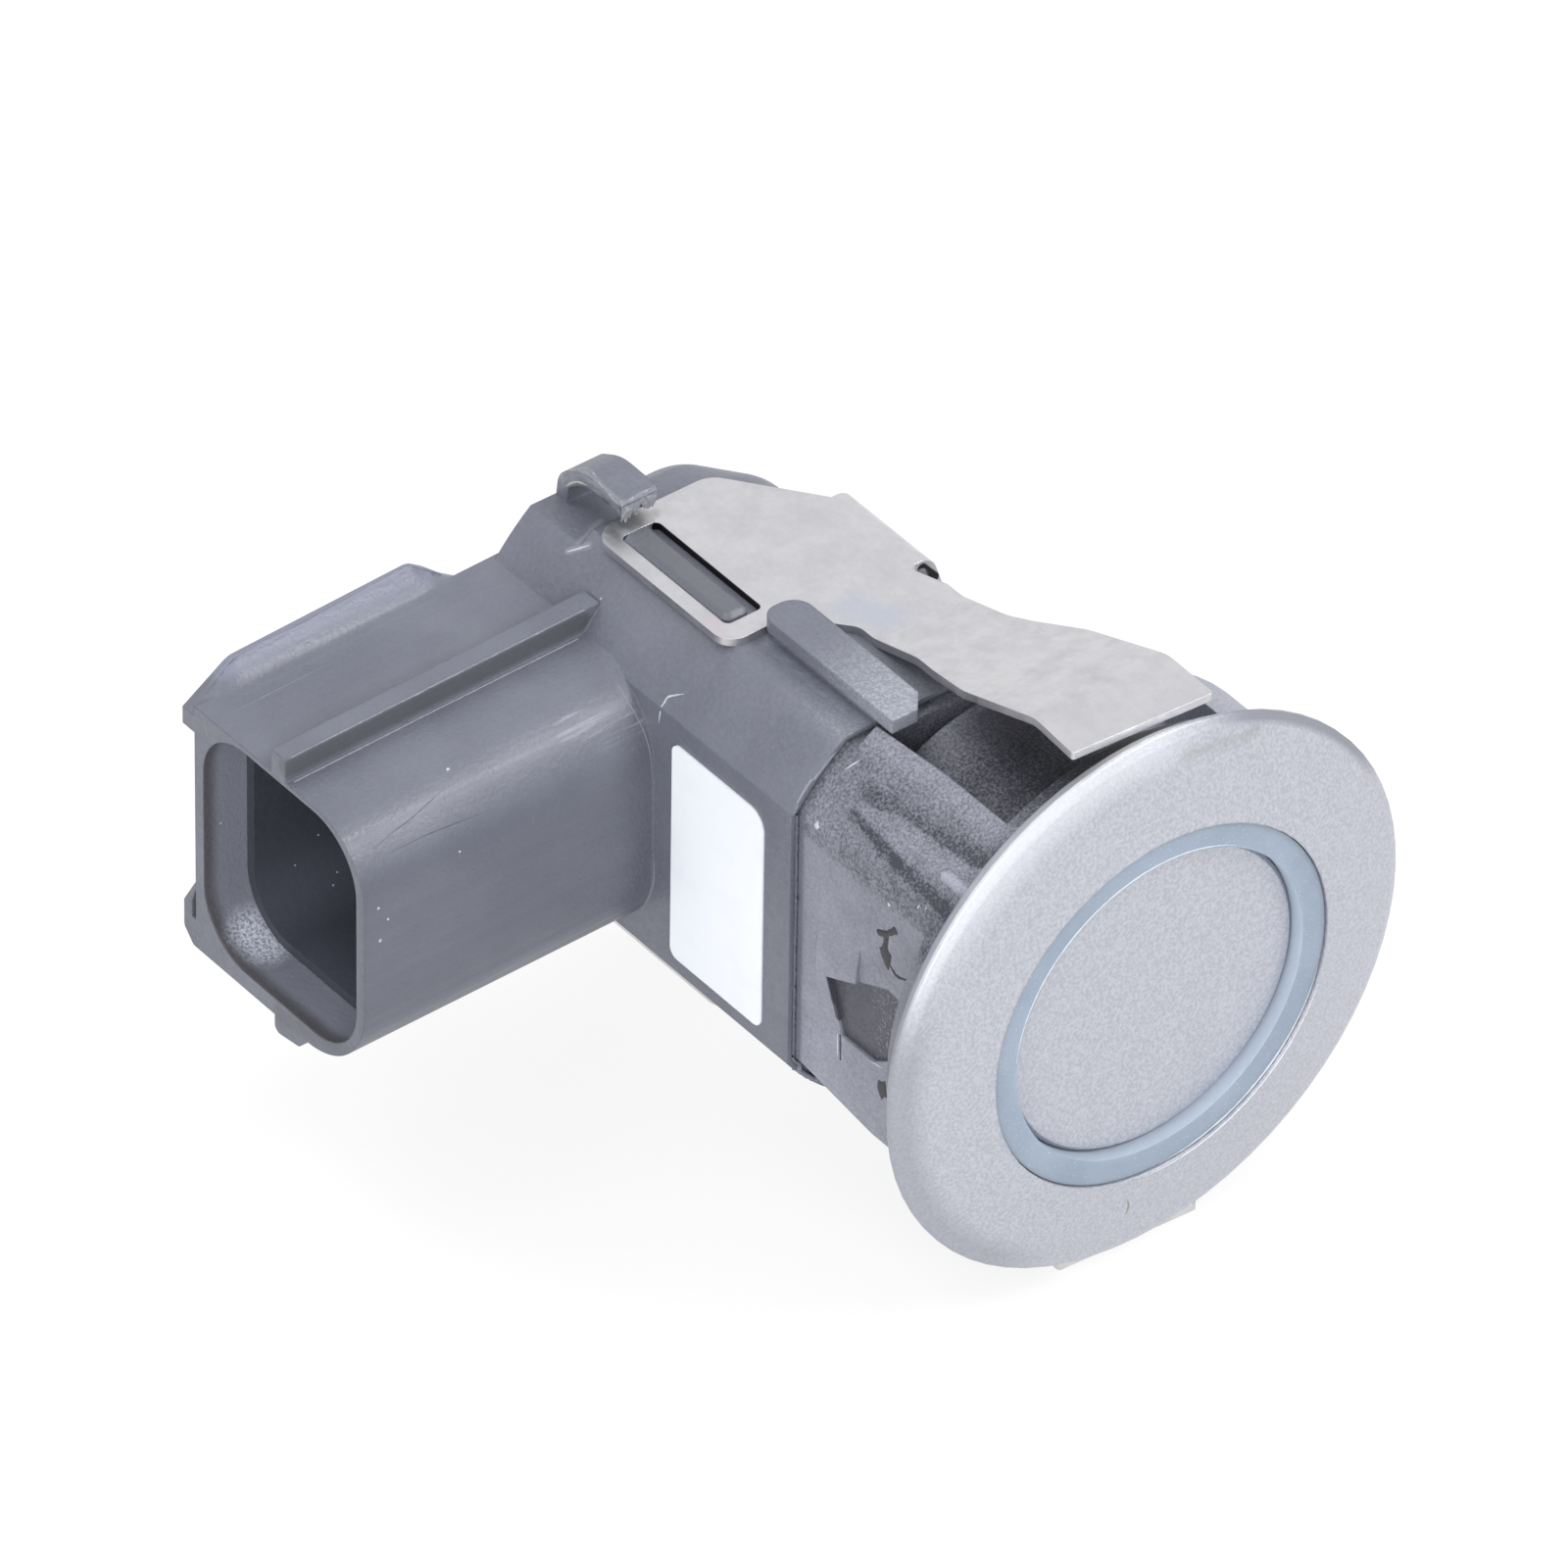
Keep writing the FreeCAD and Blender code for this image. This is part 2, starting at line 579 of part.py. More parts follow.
# Strap that rises from the back's top edge and ends in a tear above the clip
def hook():
    x = BODY_REAR_X
    top = HOOK_TOP_Z
    under = top - HOOK_T
    low = BACK_TOP_Z - 0.5
    end = x + HOOK_REACH
    outer = [(x, low, 0), (x + HOOK_LEAN, top - 1.0, 1.4), (x + HOOK_LEVEL, top, HOOK_R),
             (end, top - 0.05, 0)]
    torn = [(end + 0.2, top - HOOK_T * 0.4, 0), (end - 0.1, top - HOOK_T * 0.6, 0),
            (end + 0.1, under - 0.05, 0)]
    inner = [(x + HOOK_LEVEL, under, HOOK_R - HOOK_T), (x + HOOK_T + HOOK_LEAN, under - 0.9, 0.7),
             (x + HOOK_T + 0.1, low, 0)]
    return prism(outer + torn + inner, on_xz(HOOK_Y0), V(0, HOOK_Y1 - HOOK_Y0, 0))


def boss():
    top = CLIP_TOP_Z + BOSS_PROUD
    bar = prism([(BOSS_X0, BOSS_Y0, 0), (BOSS_X1, BOSS_Y0, 0.5), (BOSS_X1, BOSS_Y1, 0.35),
                 (BOSS_X0, BOSS_Y1, 0)],
                on_xy(BODY_TOP_Z - 0.3), V(0, 0, top - BODY_TOP_Z + 0.3))
    crown = [e for e in bar.Edges
             if all(abs(p.Z - top) < 1e-6 for p in e.Vertexes)
             and max(p.X for p in e.Vertexes) > BOSS_X0 + 0.1]
    return bar.makeChamfer(BOSS_EDGE, crown)


# Ledge beside the clip's tongue, on a stem set back from its near edge
def ledge():
    corners = [(LEDGE_X0, LEDGE_Y0, 0.8), (LEDGE_X1, LEDGE_Y0, 0), (LEDGE_X1, LEDGE_Y1 - LEDGE_CUT * 0.8, 0),
               (LEDGE_X1 - LEDGE_CUT, LEDGE_Y1, 0), (LEDGE_X0, LEDGE_Y1, 1.0)]
    cap = prism(corners, on_xy(LEDGE_TOP_Z - LEDGE_T), V(0, 0, LEDGE_T))
    stem = block(LEDGE_X0 + 0.6, BODY_FRONT_X, LEDGE_Y0 + LEDGE_NECK, LEDGE_Y1, BODY_TOP_Z - 0.3,
                 LEDGE_TOP_Z - 0.1)
    toe = block(BODY_FRONT_X - 1, LEDGE_X1 - 0.35, LEDGE_Y0 + LEDGE_NECK, LEDGE_Y1 - 0.5,
                LEDGE_TOP_Z - LEDGE_T - 0.25, LEDGE_TOP_Z - 0.1)
    return [cap, stem, toe]


def pins():
    return [(SOCKET_X + sx * PIN_PITCH_X / 2, SOCKET_Z + sz * PIN_PITCH_Z / 2)
            for sx in (-1, 1) for sz in (-1, 1)]


def pin(x, z, y0, y1, w):
    return block(x - w / 2, x + w / 2, y0, y1, z - w / 2, z + w / 2)


# Space inside the housing, open at the far face
def fill_space(y1):
    top = BODY_TOP_Z - BODY_WALL
    deep_x0 = BODY_REAR_X + BODY_WALL + 0.1
    open_x0 = BODY_REAR_X + CORNER_X + BODY_WALL
    step_y = BODY_FAR_Y - CORNER_Y - 0.6
    deep = rod_x(BODY_R - BODY_WALL, deep_x0, FILL_X1).common(
        block(deep_x0, FILL_X1, BODY_NEAR_Y + BODY_WALL, step_y, -top, top))
    wide = prism([(open_x0, -top, 1.2), (FILL_X1, -top, 1.2), (FILL_X1, top, 1.2), (open_x0, top, 1.2)],
                 on_xz(step_y - 0.5), V(0, y1 - step_y + 0.5, 0))
    return deep.fuse(wide)


def post_spots():
    return [(x, z) for x in (BOARD_X0 + 1.6, BOARD_X1 - 1.6) for z in (-POST_Z, POST_Z)]


def housing():
    near = rod_x(BODY_R, BODY_REAR_X, BODY_FRONT_X).common(
        block(BODY_REAR_X, BODY_FRONT_X, BODY_NEAR_Y, SPLIT_Y + 0.5, -BODY_TOP_Z, BODY_TOP_Z))
    step = block(BODY_REAR_X - 1, BACK_STEP_X, BODY_NEAR_Y - 1, SPLIT_Y + 0.5, BACK_TOP_Z, BODY_R)
    near = cut(near, [step, mirrored(step)])
    solid = join([near, far_block()] + shroud() + [hook(), boss(), mirrored(boss())] + ledge())
    recess = body_section(LIP_T, BODY_FRONT_X - PLUG_DEPTH - FIT, BODY_FRONT_X + 1)
    tools = [socket_prism(MOUTH_Y - 1, SOCKET_FLOOR_Y), fill_space(BODY_FAR_Y + 1), recess]
    tools.append(lead_slot(FILL_X1 - 1, BODY_FRONT_X))
    tools += [pin(x, z, SOCKET_FLOOR_Y - 1, BODY_NEAR_Y + BODY_WALL + 1, PIN_W) for x, z in pins()]
    solid = cut(solid, tools)
    posts = [pin(x, z, BODY_NEAR_Y + BODY_WALL - 0.3, BOARD_Y0, POST_W) for x, z in post_spots()]
    return join([solid] + posts)


# Sealing bead in the groove between the plug and the housing's lip
def joint_seal():
    x0 = BODY_FRONT_X - PLUG_DEPTH
    bead = body_section(LIP_T, x0, x0 + PLUG_DEPTH * 0.55)
    return bead.cut(body_section(PLUG_DROP, x0 - 1, BODY_FRONT_X + 1))


def contact_carrier():
    y0 = MOUTH_Y + LEAD_IN
    shell = socket_prism(y0, SOCKET_FLOOR_Y - FIT, FIT)
    room = socket_prism(y0 - 1, SOCKET_FLOOR_Y - CARRIER_FLOOR, FIT + CARRIER_WALL)
    return cut(shell, [room] + [pin(x, z, y0, BODY_NEAR_Y, PIN_W) for x, z in pins()])


def terminal(x, z):
    shank = pin(x, z, PIN_TIP_Y + PIN_W, BOARD_Y1 + 0.5, PIN_W)
    h = PIN_W / 2
    t = h / 2.5
    tip = Part.makeLoft([
        outline([(x - t, z - t, 0), (x + t, z - t, 0), (x + t, z + t, 0), (x - t, z + t, 0)],
                on_xz(PIN_TIP_Y)),
        outline([(x - h, z - h, 0), (x + h, z - h, 0), (x + h, z + h, 0), (x - h, z + h, 0)],
                on_xz(PIN_TIP_Y + PIN_W))], True, True)
    return join([shank, tip])


def circuit_board():
    c = BOARD_CORNER
    corners = []
    for x, z, dx, dz in ((BOARD_X0, -BOARD_HALF_Z, 1, 1), (BOARD_X1, -BOARD_HALF_Z, -1, 1),
                         (BOARD_X1, BOARD_HALF_Z, -1, -1), (BOARD_X0, BOARD_HALF_Z, 1, -1)):
        cuts = [(x, z + dz * c, 0), (x + dx * c, z, 0)]
        corners += cuts if dx == dz else cuts[::-1]
    board = prism(corners, on_xz(BOARD_Y0), V(0, BOARD_T, 0))
    return cut(board, [pin(x, z, BOARD_Y0 - 1, BOARD_Y1 + 1, PIN_W) for x, z in pins()])


def on_board(x, z, length, height, width):
    return block(x - length / 2, x + length / 2, BOARD_Y1, BOARD_Y1 + height, z - width / 2, z + width / 2)


# Ferrite core with a window for the coil
def transformer_core():
    z = -BOARD_HALF_Z + CORE_W / 2 + 0.6
    core = on_board(CORE_X, z, CORE_W, CORE_H, CORE_W)
    half = CORE_W / 2 - CORE_LEG
    return core.cut(block(CORE_X - half, CORE_X + half, BOARD_Y1 + CORE_LEG,
                          BOARD_Y1 + CORE_H - CORE_LEG / 2, z - CORE_W, z + CORE_W))


def transformer_coil():
    z = -BOARD_HALF_Z + CORE_W / 2 + 0.6
    y = BOARD_Y1 + CORE_LEG + (CORE_H - 1.5 * CORE_LEG) / 2
    return rod_x(COIL_R, CORE_X - CORE_W / 2 + CORE_LEG, CORE_X + CORE_W / 2 - CORE_LEG, y, z)


def ic_leads():
    leads = []
    mid_y = BOARD_Y1 + IC_H / 2
    rise_z = IC_LEAD_OUT + IC_LEAD_T / 2
    foot_z = IC_LEAD_OUT + IC_LEAD_FOOT / 2
    for i in range(IC_LEADS):
        x = IC_X + (i - (IC_LEADS - 1) / 2) * IC_PITCH
        for side in (-1, 1):
            z = IC_Z + side * IC_WID / 2
            tip = z + side * (IC_LEAD_OUT + IC_LEAD_T)
            foot = on_board(x, z + side * foot_z, IC_LEAD_W, IC_LEAD_T, IC_LEAD_FOOT)
            rise = on_board(x, z + side * rise_z, IC_LEAD_W, IC_H / 2, IC_LEAD_T)
            arm = block(x - IC_LEAD_W / 2, x + IC_LEAD_W / 2, mid_y - IC_LEAD_T, mid_y,
                        min(z, tip), max(z, tip))
            leads.append(join([foot, rise, arm]))
    return Part.makeCompound(leads)


def chips(height, z):
    return Part.makeCompound([on_board(CHIP_X + i * CHIP_PITCH, z, CHIP_W, height, CHIP_L)
                              for i in range(CHIP_COUNT)])


# Upper half of the clip: plate, window and tongue, cut from one bent strip
def clip_sheet():
    z = BODY_TOP_Z
    wide = 9.0
    far = TIP_X + 1.0
    path = [(CLIP_X0 - 1, CLIP_TOP_Z, 0), (BEND_X, CLIP_TOP_Z, BEND_R), (KNEE_X, KNEE_Z, KNEE_R),
            (CREASE_X, CREASE_Z, CREASE_R), (far, TIP_Z, 0)]
    under = [(CLIP_X0 - 1, z, 0), (BEND_X + 0.06, z, BEND_R + SHEET),
             (KNEE_X + 0.13, KNEE_Z - SHEET, KNEE_R - SHEET),
             (CREASE_X, CREASE_Z - SHEET, CREASE_R - SHEET), (far, TIP_Z - SHEET, 0)]
    strip = prism(under + path[::-1], on_xz(-wide), V(0, 2 * wide, 0))
    flat_y = FOLD_Y - FOLD_R
    plan = [(CLIP_X0, CLIP_Y0, CLIP_CORNER), (CLIP_X1, CLIP_Y0, 1.0), (CLIP_X1, -ROOT_SHOULDER, 0),
            (BEND_X - 2.0, -ROOT_SHOULDER, 0.5), (BEND_X - 1.0, -ROOT_HALF, 1.0),
            (FLARE_X0, -ROOT_HALF, 3.0), (FLARE_X1, -FLARE_HALF, 4.0), (TIP_X - TIP_SKEW, -TIP_HALF, 0.15),
            (TIP_X + TIP_SKEW, TIP_HALF, 0.15), (FLARE_X1, FLARE_HALF, 4.0), (FLARE_X0, ROOT_HALF, 3.0),
            (BEND_X - 1.0, ROOT_HALF, 0.3),
            (WEB_X1 + 0.15, flat_y - 0.3, 0.15), (WEB_X1, flat_y, 0), (WEB_X0, flat_y, 0),
            (CLIP_X0, CLIP_CUT_Y, CLIP_CORNER)]
    sheet = strip.common(prism(plan, on_xy(0), V(0, 0, TIP_Z + 5)))
    x0 = BOSS_X0 - WINDOW_CLEAR
    x1 = BOSS_X1 + WINDOW_CLEAR
    y0 = BOSS_Y0 - FIT
    y1 = BOSS_Y1 + WINDOW_FAR
    window = prism([(x0, y0, 0.3), (x1, y0, 0.3), (x1, y1, 0.3), (x0, y1, 0.3)], on_xy(0), V(0, 0, TIP_Z))
    return sheet.cut(window)


# One-piece spring clip that wraps the housing's far side
def retaining_clip():
    t = CLIP_TOP_Z
    corners = [(0, -t, 0), (FOLD_Y, -t, FOLD_R), (WEB_OUT_Y, -SPREAD_Z, SPREAD_R),
               (WEB_OUT_Y, SPREAD_Z, SPREAD_R), (FOLD_Y, t, FOLD_R), (0, t, 0)]
    outer = outline(corners, on_yz(WEB_X0))
    inner = outer.makeOffset2D(-SHEET)
    band = Part.Face(outer).cut(Part.Face(inner)).extrude(V(WEB_X1 - WEB_X0, 0, 0))
    web = cut(band, [block(WEB_X0 - 1, WEB_X1 + 1, -1, FOLD_Y - FOLD_R, -t - 1, t + 1)])
    top = clip_sheet()
    return join([web, top, mirrored(top)])


def label():
    return prism([(LABEL_X0, LABEL_Z0, LABEL_ROUND), (LABEL_X1, LABEL_Z0, LABEL_ROUND),
                  (LABEL_X1, LABEL_Z1, 2 * LABEL_ROUND), (LABEL_X0, LABEL_Z1, LABEL_ROUND)],
                 on_xz(BODY_NEAR_Y - LABEL_T), V(0, LABEL_T, 0))


inside = {
    "circuit_board": circuit_board(),
    "control_chip": on_board(IC_X, IC_Z, IC_LEN, IC_H, IC_WID),
    "control_chip_leads": ic_leads(),
    "transformer_core": transformer_core(),
    "transformer_coil": transformer_coil(),
    "ceramic_capacitors": chips(CAP_H, CAP_Z),
    "chip_resistors": chips(RES_H, RES_Z),
    "tantalum_capacitor": on_board(TANTALUM_X, TANTALUM_Z, TANTALUM_W, TANTALUM_H, TANTALUM_L),
    "resonator": on_board(SOCKET_X, RESONATOR_Z, RESONATOR_W, RESONATOR_H, RESONATOR_L),
    "transducer_leads": transducer_leads(),
    "connector_terminals": Part.makeCompound([terminal(x, z) for x, z in pins()]),
}
shell = housing()
lead_room = IC_LEAD_OUT + IC_LEAD_FOOT
under_leads = [on_board(IC_X, IC_Z + side * (IC_WID + lead_room) / 2, IC_LEADS * IC_PITCH, IC_H / 2,
                        lead_room) for side in (-1, 1)]
exact = [shape for name, shape in inside.items() if name not in ("control_chip_leads", "transducer_leads")]
potted = exact + under_leads + lead_envelopes()
potting = cut(fill_space(BODY_FAR_Y - FILL_DROP), potted + [shell])

nodes = {
    "bezel_barrel": bezel_barrel(),
    "decoupling_ring": decoupling_ring(),
    "transducer_cup": transducer_cup(),
    "piezo_disc": piezo_disc(),
    "damping_pad": damping_pad(),
    "transducer_filling": transducer_filling(),
    "transducer_base": transducer_base(),
    "housing": shell,
    "joint_seal": joint_seal(),
    "contact_carrier": contact_carrier(),
    "potting": potting,
    "retaining_clip": retaining_clip(),
    "label": label(),
}
nodes.update(inside)
for name, shape in nodes.items():
    save(name, shape)
    print(name, len(shape.Solids), round(shape.Volume, 2), shape.isValid())
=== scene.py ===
import math
import random

import bmesh
import bpy
from mathutils import Matrix, Vector, noise
from mathutils.bvhtree import BVHTree


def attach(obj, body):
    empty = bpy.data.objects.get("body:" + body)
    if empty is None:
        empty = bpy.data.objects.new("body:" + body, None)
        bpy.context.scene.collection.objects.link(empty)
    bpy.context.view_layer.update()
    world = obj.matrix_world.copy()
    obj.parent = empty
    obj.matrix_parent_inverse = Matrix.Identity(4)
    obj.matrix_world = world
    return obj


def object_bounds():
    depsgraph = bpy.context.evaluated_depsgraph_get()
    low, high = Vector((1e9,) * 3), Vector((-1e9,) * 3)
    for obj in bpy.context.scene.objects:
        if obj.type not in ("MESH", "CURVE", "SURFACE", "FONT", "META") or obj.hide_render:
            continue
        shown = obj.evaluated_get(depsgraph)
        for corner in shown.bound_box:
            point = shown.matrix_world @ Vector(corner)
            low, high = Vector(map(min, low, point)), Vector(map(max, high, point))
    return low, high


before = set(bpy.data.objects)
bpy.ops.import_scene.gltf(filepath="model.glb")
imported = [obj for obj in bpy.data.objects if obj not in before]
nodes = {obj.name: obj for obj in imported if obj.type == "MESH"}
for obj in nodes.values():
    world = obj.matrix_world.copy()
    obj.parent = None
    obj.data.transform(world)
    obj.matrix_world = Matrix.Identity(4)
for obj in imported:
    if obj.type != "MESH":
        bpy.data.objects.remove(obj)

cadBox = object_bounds()
mm = 0.001

# Ultrasonic parking sensor. The solids get their finishes, and the marks, tears, scratches, burrs
# and drops of paint of the real one lie on them as pieces of their own, as do painted highlights
# on lit edges and lightened fills that lift the shade in grooves.
# Lengths are millimetres: +X is the sensing direction, -Y points out of the connector, +Z is up.


def linear(hexCode):
    # sRGB hex to the linear values that the shaders take
    parts = [int(hexCode[i:i + 2], 16) / 255 for i in (1, 3, 5)]
    return tuple(c / 12.92 if c <= 0.04045 else ((c + 0.055) / 1.055) ** 2.4 for c in parts) + (1.0,)


def addNode(tree, kind, inputs=None, **settings):
    # A node with its settings, its inputs set to values or linked to sockets
    node = tree.nodes.new(kind)
    for key, value in settings.items():
        setattr(node, key, value)
    for socket, value in (inputs or {}).items():
        if isinstance(value, bpy.types.NodeSocket):
            tree.links.new(value, node.inputs[socket])
        else:
            node.inputs[socket].default_value = value
    return node


def newMaterial(name, **shaderInputs):
    # A material with nothing but its shader, whose constants are on its own sockets
    material = bpy.data.materials.new(name)
    material.use_nodes = True
    tree = material.node_tree
    tree.nodes.clear()
    shader = addNode(tree, "ShaderNodeBsdfPrincipled", shaderInputs)
    addNode(tree, "ShaderNodeOutputMaterial", {"Surface": shader.outputs["BSDF"]})
    return material, tree, shader


def cloud(tree, sizeMm, low, high, stretch=(1, 1, 1), detail=3.0, rough=0.55):
    # Noise with a real size in mm, 0 below low and 1 above high; stretch under 1 draws it out
    where = addNode(tree, "ShaderNodeTexCoord").outputs["Object"]
    if stretch != (1, 1, 1):
        where = addNode(tree, "ShaderNodeMapping", {"Vector": where, "Scale": stretch}).outputs["Vector"]
    field = addNode(tree, "ShaderNodeTexNoise", {
        "Vector": where, "Scale": 1 / (sizeMm * mm), "Detail": detail, "Roughness": rough})
    return addNode(tree, "ShaderNodeMapRange", {
        "Value": field.outputs["Fac"], "From Min": low, "From Max": high}).outputs["Result"]


def along(tree, axis, start, end):
    # 0 at start and 1 at end, in mm along X, Y or Z
    where = addNode(tree, "ShaderNodeTexCoord").outputs["Object"]
    apart = addNode(tree, "ShaderNodeSeparateXYZ", {"Vector": where})
    return addNode(tree, "ShaderNodeMapRange", {
        "Value": apart.outputs[axis], "From Min": start * mm, "From Max": end * mm},
        interpolation_type="SMOOTHSTEP").outputs["Result"]


def facing(tree, axis, start, end):
    # 0 where the way out of the surface has the share start along X, Y or Z, and 1 at the share end
    outward = addNode(tree, "ShaderNodeNewGeometry").outputs["Normal"]
    apart = addNode(tree, "ShaderNodeSeparateXYZ", {"Vector": outward})
    return addNode(tree, "ShaderNodeMapRange", {
        "Value": apart.outputs[axis], "From Min": start, "From Max": end}).outputs["Result"]


def nearLine(tree, start, end, reach, hard=0.15):
    # 1 on the line between two places, up to hard times reach mm from it, and 0 at reach mm
    where = addNode(tree, "ShaderNodeTexCoord").outputs["Object"]
    run = (Vector(end) - Vector(start)) * mm
    fromStart = addNode(tree, "ShaderNodeVectorMath", {0: where, 1: Vector(start) * mm},
                        operation="SUBTRACT").outputs[0]
    share = addNode(tree, "ShaderNodeVectorMath", {0: fromStart, 1: run / run.length_squared},
                    operation="DOT_PRODUCT").outputs["Value"]
    held = addNode(tree, "ShaderNodeClamp", {"Value": share}).outputs[0]
    foot = addNode(tree, "ShaderNodeVectorMath", {0: run, "Scale": held}, operation="SCALE").outputs[0]
    gap = addNode(tree, "ShaderNodeVectorMath", {0: fromStart, 1: foot},
                  operation="DISTANCE").outputs["Value"]
    return addNode(tree, "ShaderNodeMapRange", {
        "Value": gap, "From Min": reach * hard * mm, "From Max": reach * mm,
        "To Min": 1.0, "To Max": 0.0}, interpolation_type="SMOOTHSTEP").outputs["Result"]


def beyond(tree, place, way, soft):
    # 1 on the far side of a plane through a place, 0 on the near side, soft mm each way
    where = addNode(tree, "ShaderNodeTexCoord").outputs["Object"]
    gap = addNode(tree, "ShaderNodeVectorMath", {0: where, 1: Vector(place) * mm}, operation="SUBTRACT")
    far = addNode(tree, "ShaderNodeVectorMath", {0: gap.outputs[0], 1: Vector(way).normalized()},
                  operation="DOT_PRODUCT")
    return addNode(tree, "ShaderNodeMapRange", {
        "Value": far.outputs["Value"], "From Min": -soft * mm, "From Max": soft * mm}).outputs["Result"]


def together(tree, masks, how="MULTIPLY"):
    # Several masks or weights as one: their product, their sum or the largest. A tuple stands
    # for the mask along that axis.
    masks = [along(tree, *mask) if isinstance(mask, tuple) else mask for mask in masks]
    joined = masks[0]
    for mask in masks[1:]:
        joined = addNode(tree, "ShaderNodeMath", {0: joined, 1: mask}, operation=how).outputs[0]
    return joined


def layTones(tree, look, masks, base="colour"):
    # Lays a look's tones over its base one in turn: each where its masks meet, at most at its share
    tone = linear(look[base])
    for name, parts in masks.items():
        colour, share = look[name]
        cover = together(tree, parts + [share] if share < 1 else parts)
        tone = addNode(tree, "ShaderNodeMix", {0: cover, 6: tone, 7: linear(colour)},
                       data_type="RGBA").outputs[2]
    return tone


def relief(tree, shader, height, depthMm, edgeMm=0.0):
    # Surface relief from a height field, on edges that are rounded by edgeMm
    inputs = {"Height": height, "Strength": 1.0, "Distance": depthMm * mm}
    if edgeMm:
        rounded = addNode(tree, "ShaderNodeBevel", {"Radius": edgeMm * mm}, samples=4)
        inputs["Normal"] = rounded.outputs["Normal"]
    rise = addNode(tree, "ShaderNodeBump", inputs)
    tree.links.new(rise.outputs["Normal"], shader.inputs["Normal"])


print("helpers ready")


housingLook = {
    "colour": "#5E616C",  # mid grey with a cold cast
    "roughness": 0.45, "duller": 0.08, "glossier": 0.1,  # and how far its drag lines change it
    "cloudMm": 5.0,
    "grainMm": 0.2,
    "drawMm": 0.5,
    "dustMm": 0.13,
    "socketX": -26.2,  # the connector socket's axis
    "reliefMm": 0.012, "dragRelief": 0.45,
    "edgeMm": 0.14,
    # Tones over it, and how much each covers
    "pale": ("#696C77", 1.0),  # where the glass fibre comes near the skin
    "drag": ("#4E515B", 0.1),  # drag lines along the shroud's draw
    "grain": ("#7B7E89", 0.16),
    "bodyGrain": ("#7B7E89", 0.24),  # more of it on the body
    "slope": ("#84889A", 0.6),  # the ridge's slope, lightened: painted highlight where it faces the light
    "streakHighlight": ("#A2A4AD", 0.6),  # painted highlight lines where the shroud's corner meets its root
    "ribSideShade": ("#4F5053", 0.8),  # painted shade, brownish, on the rib's side turned from the light
    "flankShade": ("#4E515B", 0.36),  # painted shade on the shroud's front side, turned from the light
    "inside": ("#80838F", 1.0),  # painted light: the mouth's walls, lightened against the shade within
    "rimShade": ("#4A4748", 0.8),  # painted shade and dark reflection just inside the mouth's rim
    "smear": ("#4F5053", 0.5),  # dirt on the rim itself
    "haze": ("#B9BCC6", 0.25),  # overspray in the mouth's lower corner
    "frost": ("#DDE1F0", 1.0),  # and its bright grains
    "torn": ("#A2A4AD", 0.3),  # the strap's torn near side
    "arch": ("#33343A", 0.85),  # painted shadow under its arch
    "stress": ("#A2A4AD", 0.35),  # whitened by bending
    "mist": ("#B9BCC6", 0.3),  # paint that drifted onto the front of the ledge
    "underLedge": ("#84889A", 0.5),
    "slotShade": ("#4F5053", 0.5),  # painted shade on its top in the clip's window slot
    "veil": ("#B9BCC6", 0.65),  # the drifted paint's grains
    "veilMetallic": 0.5,
}


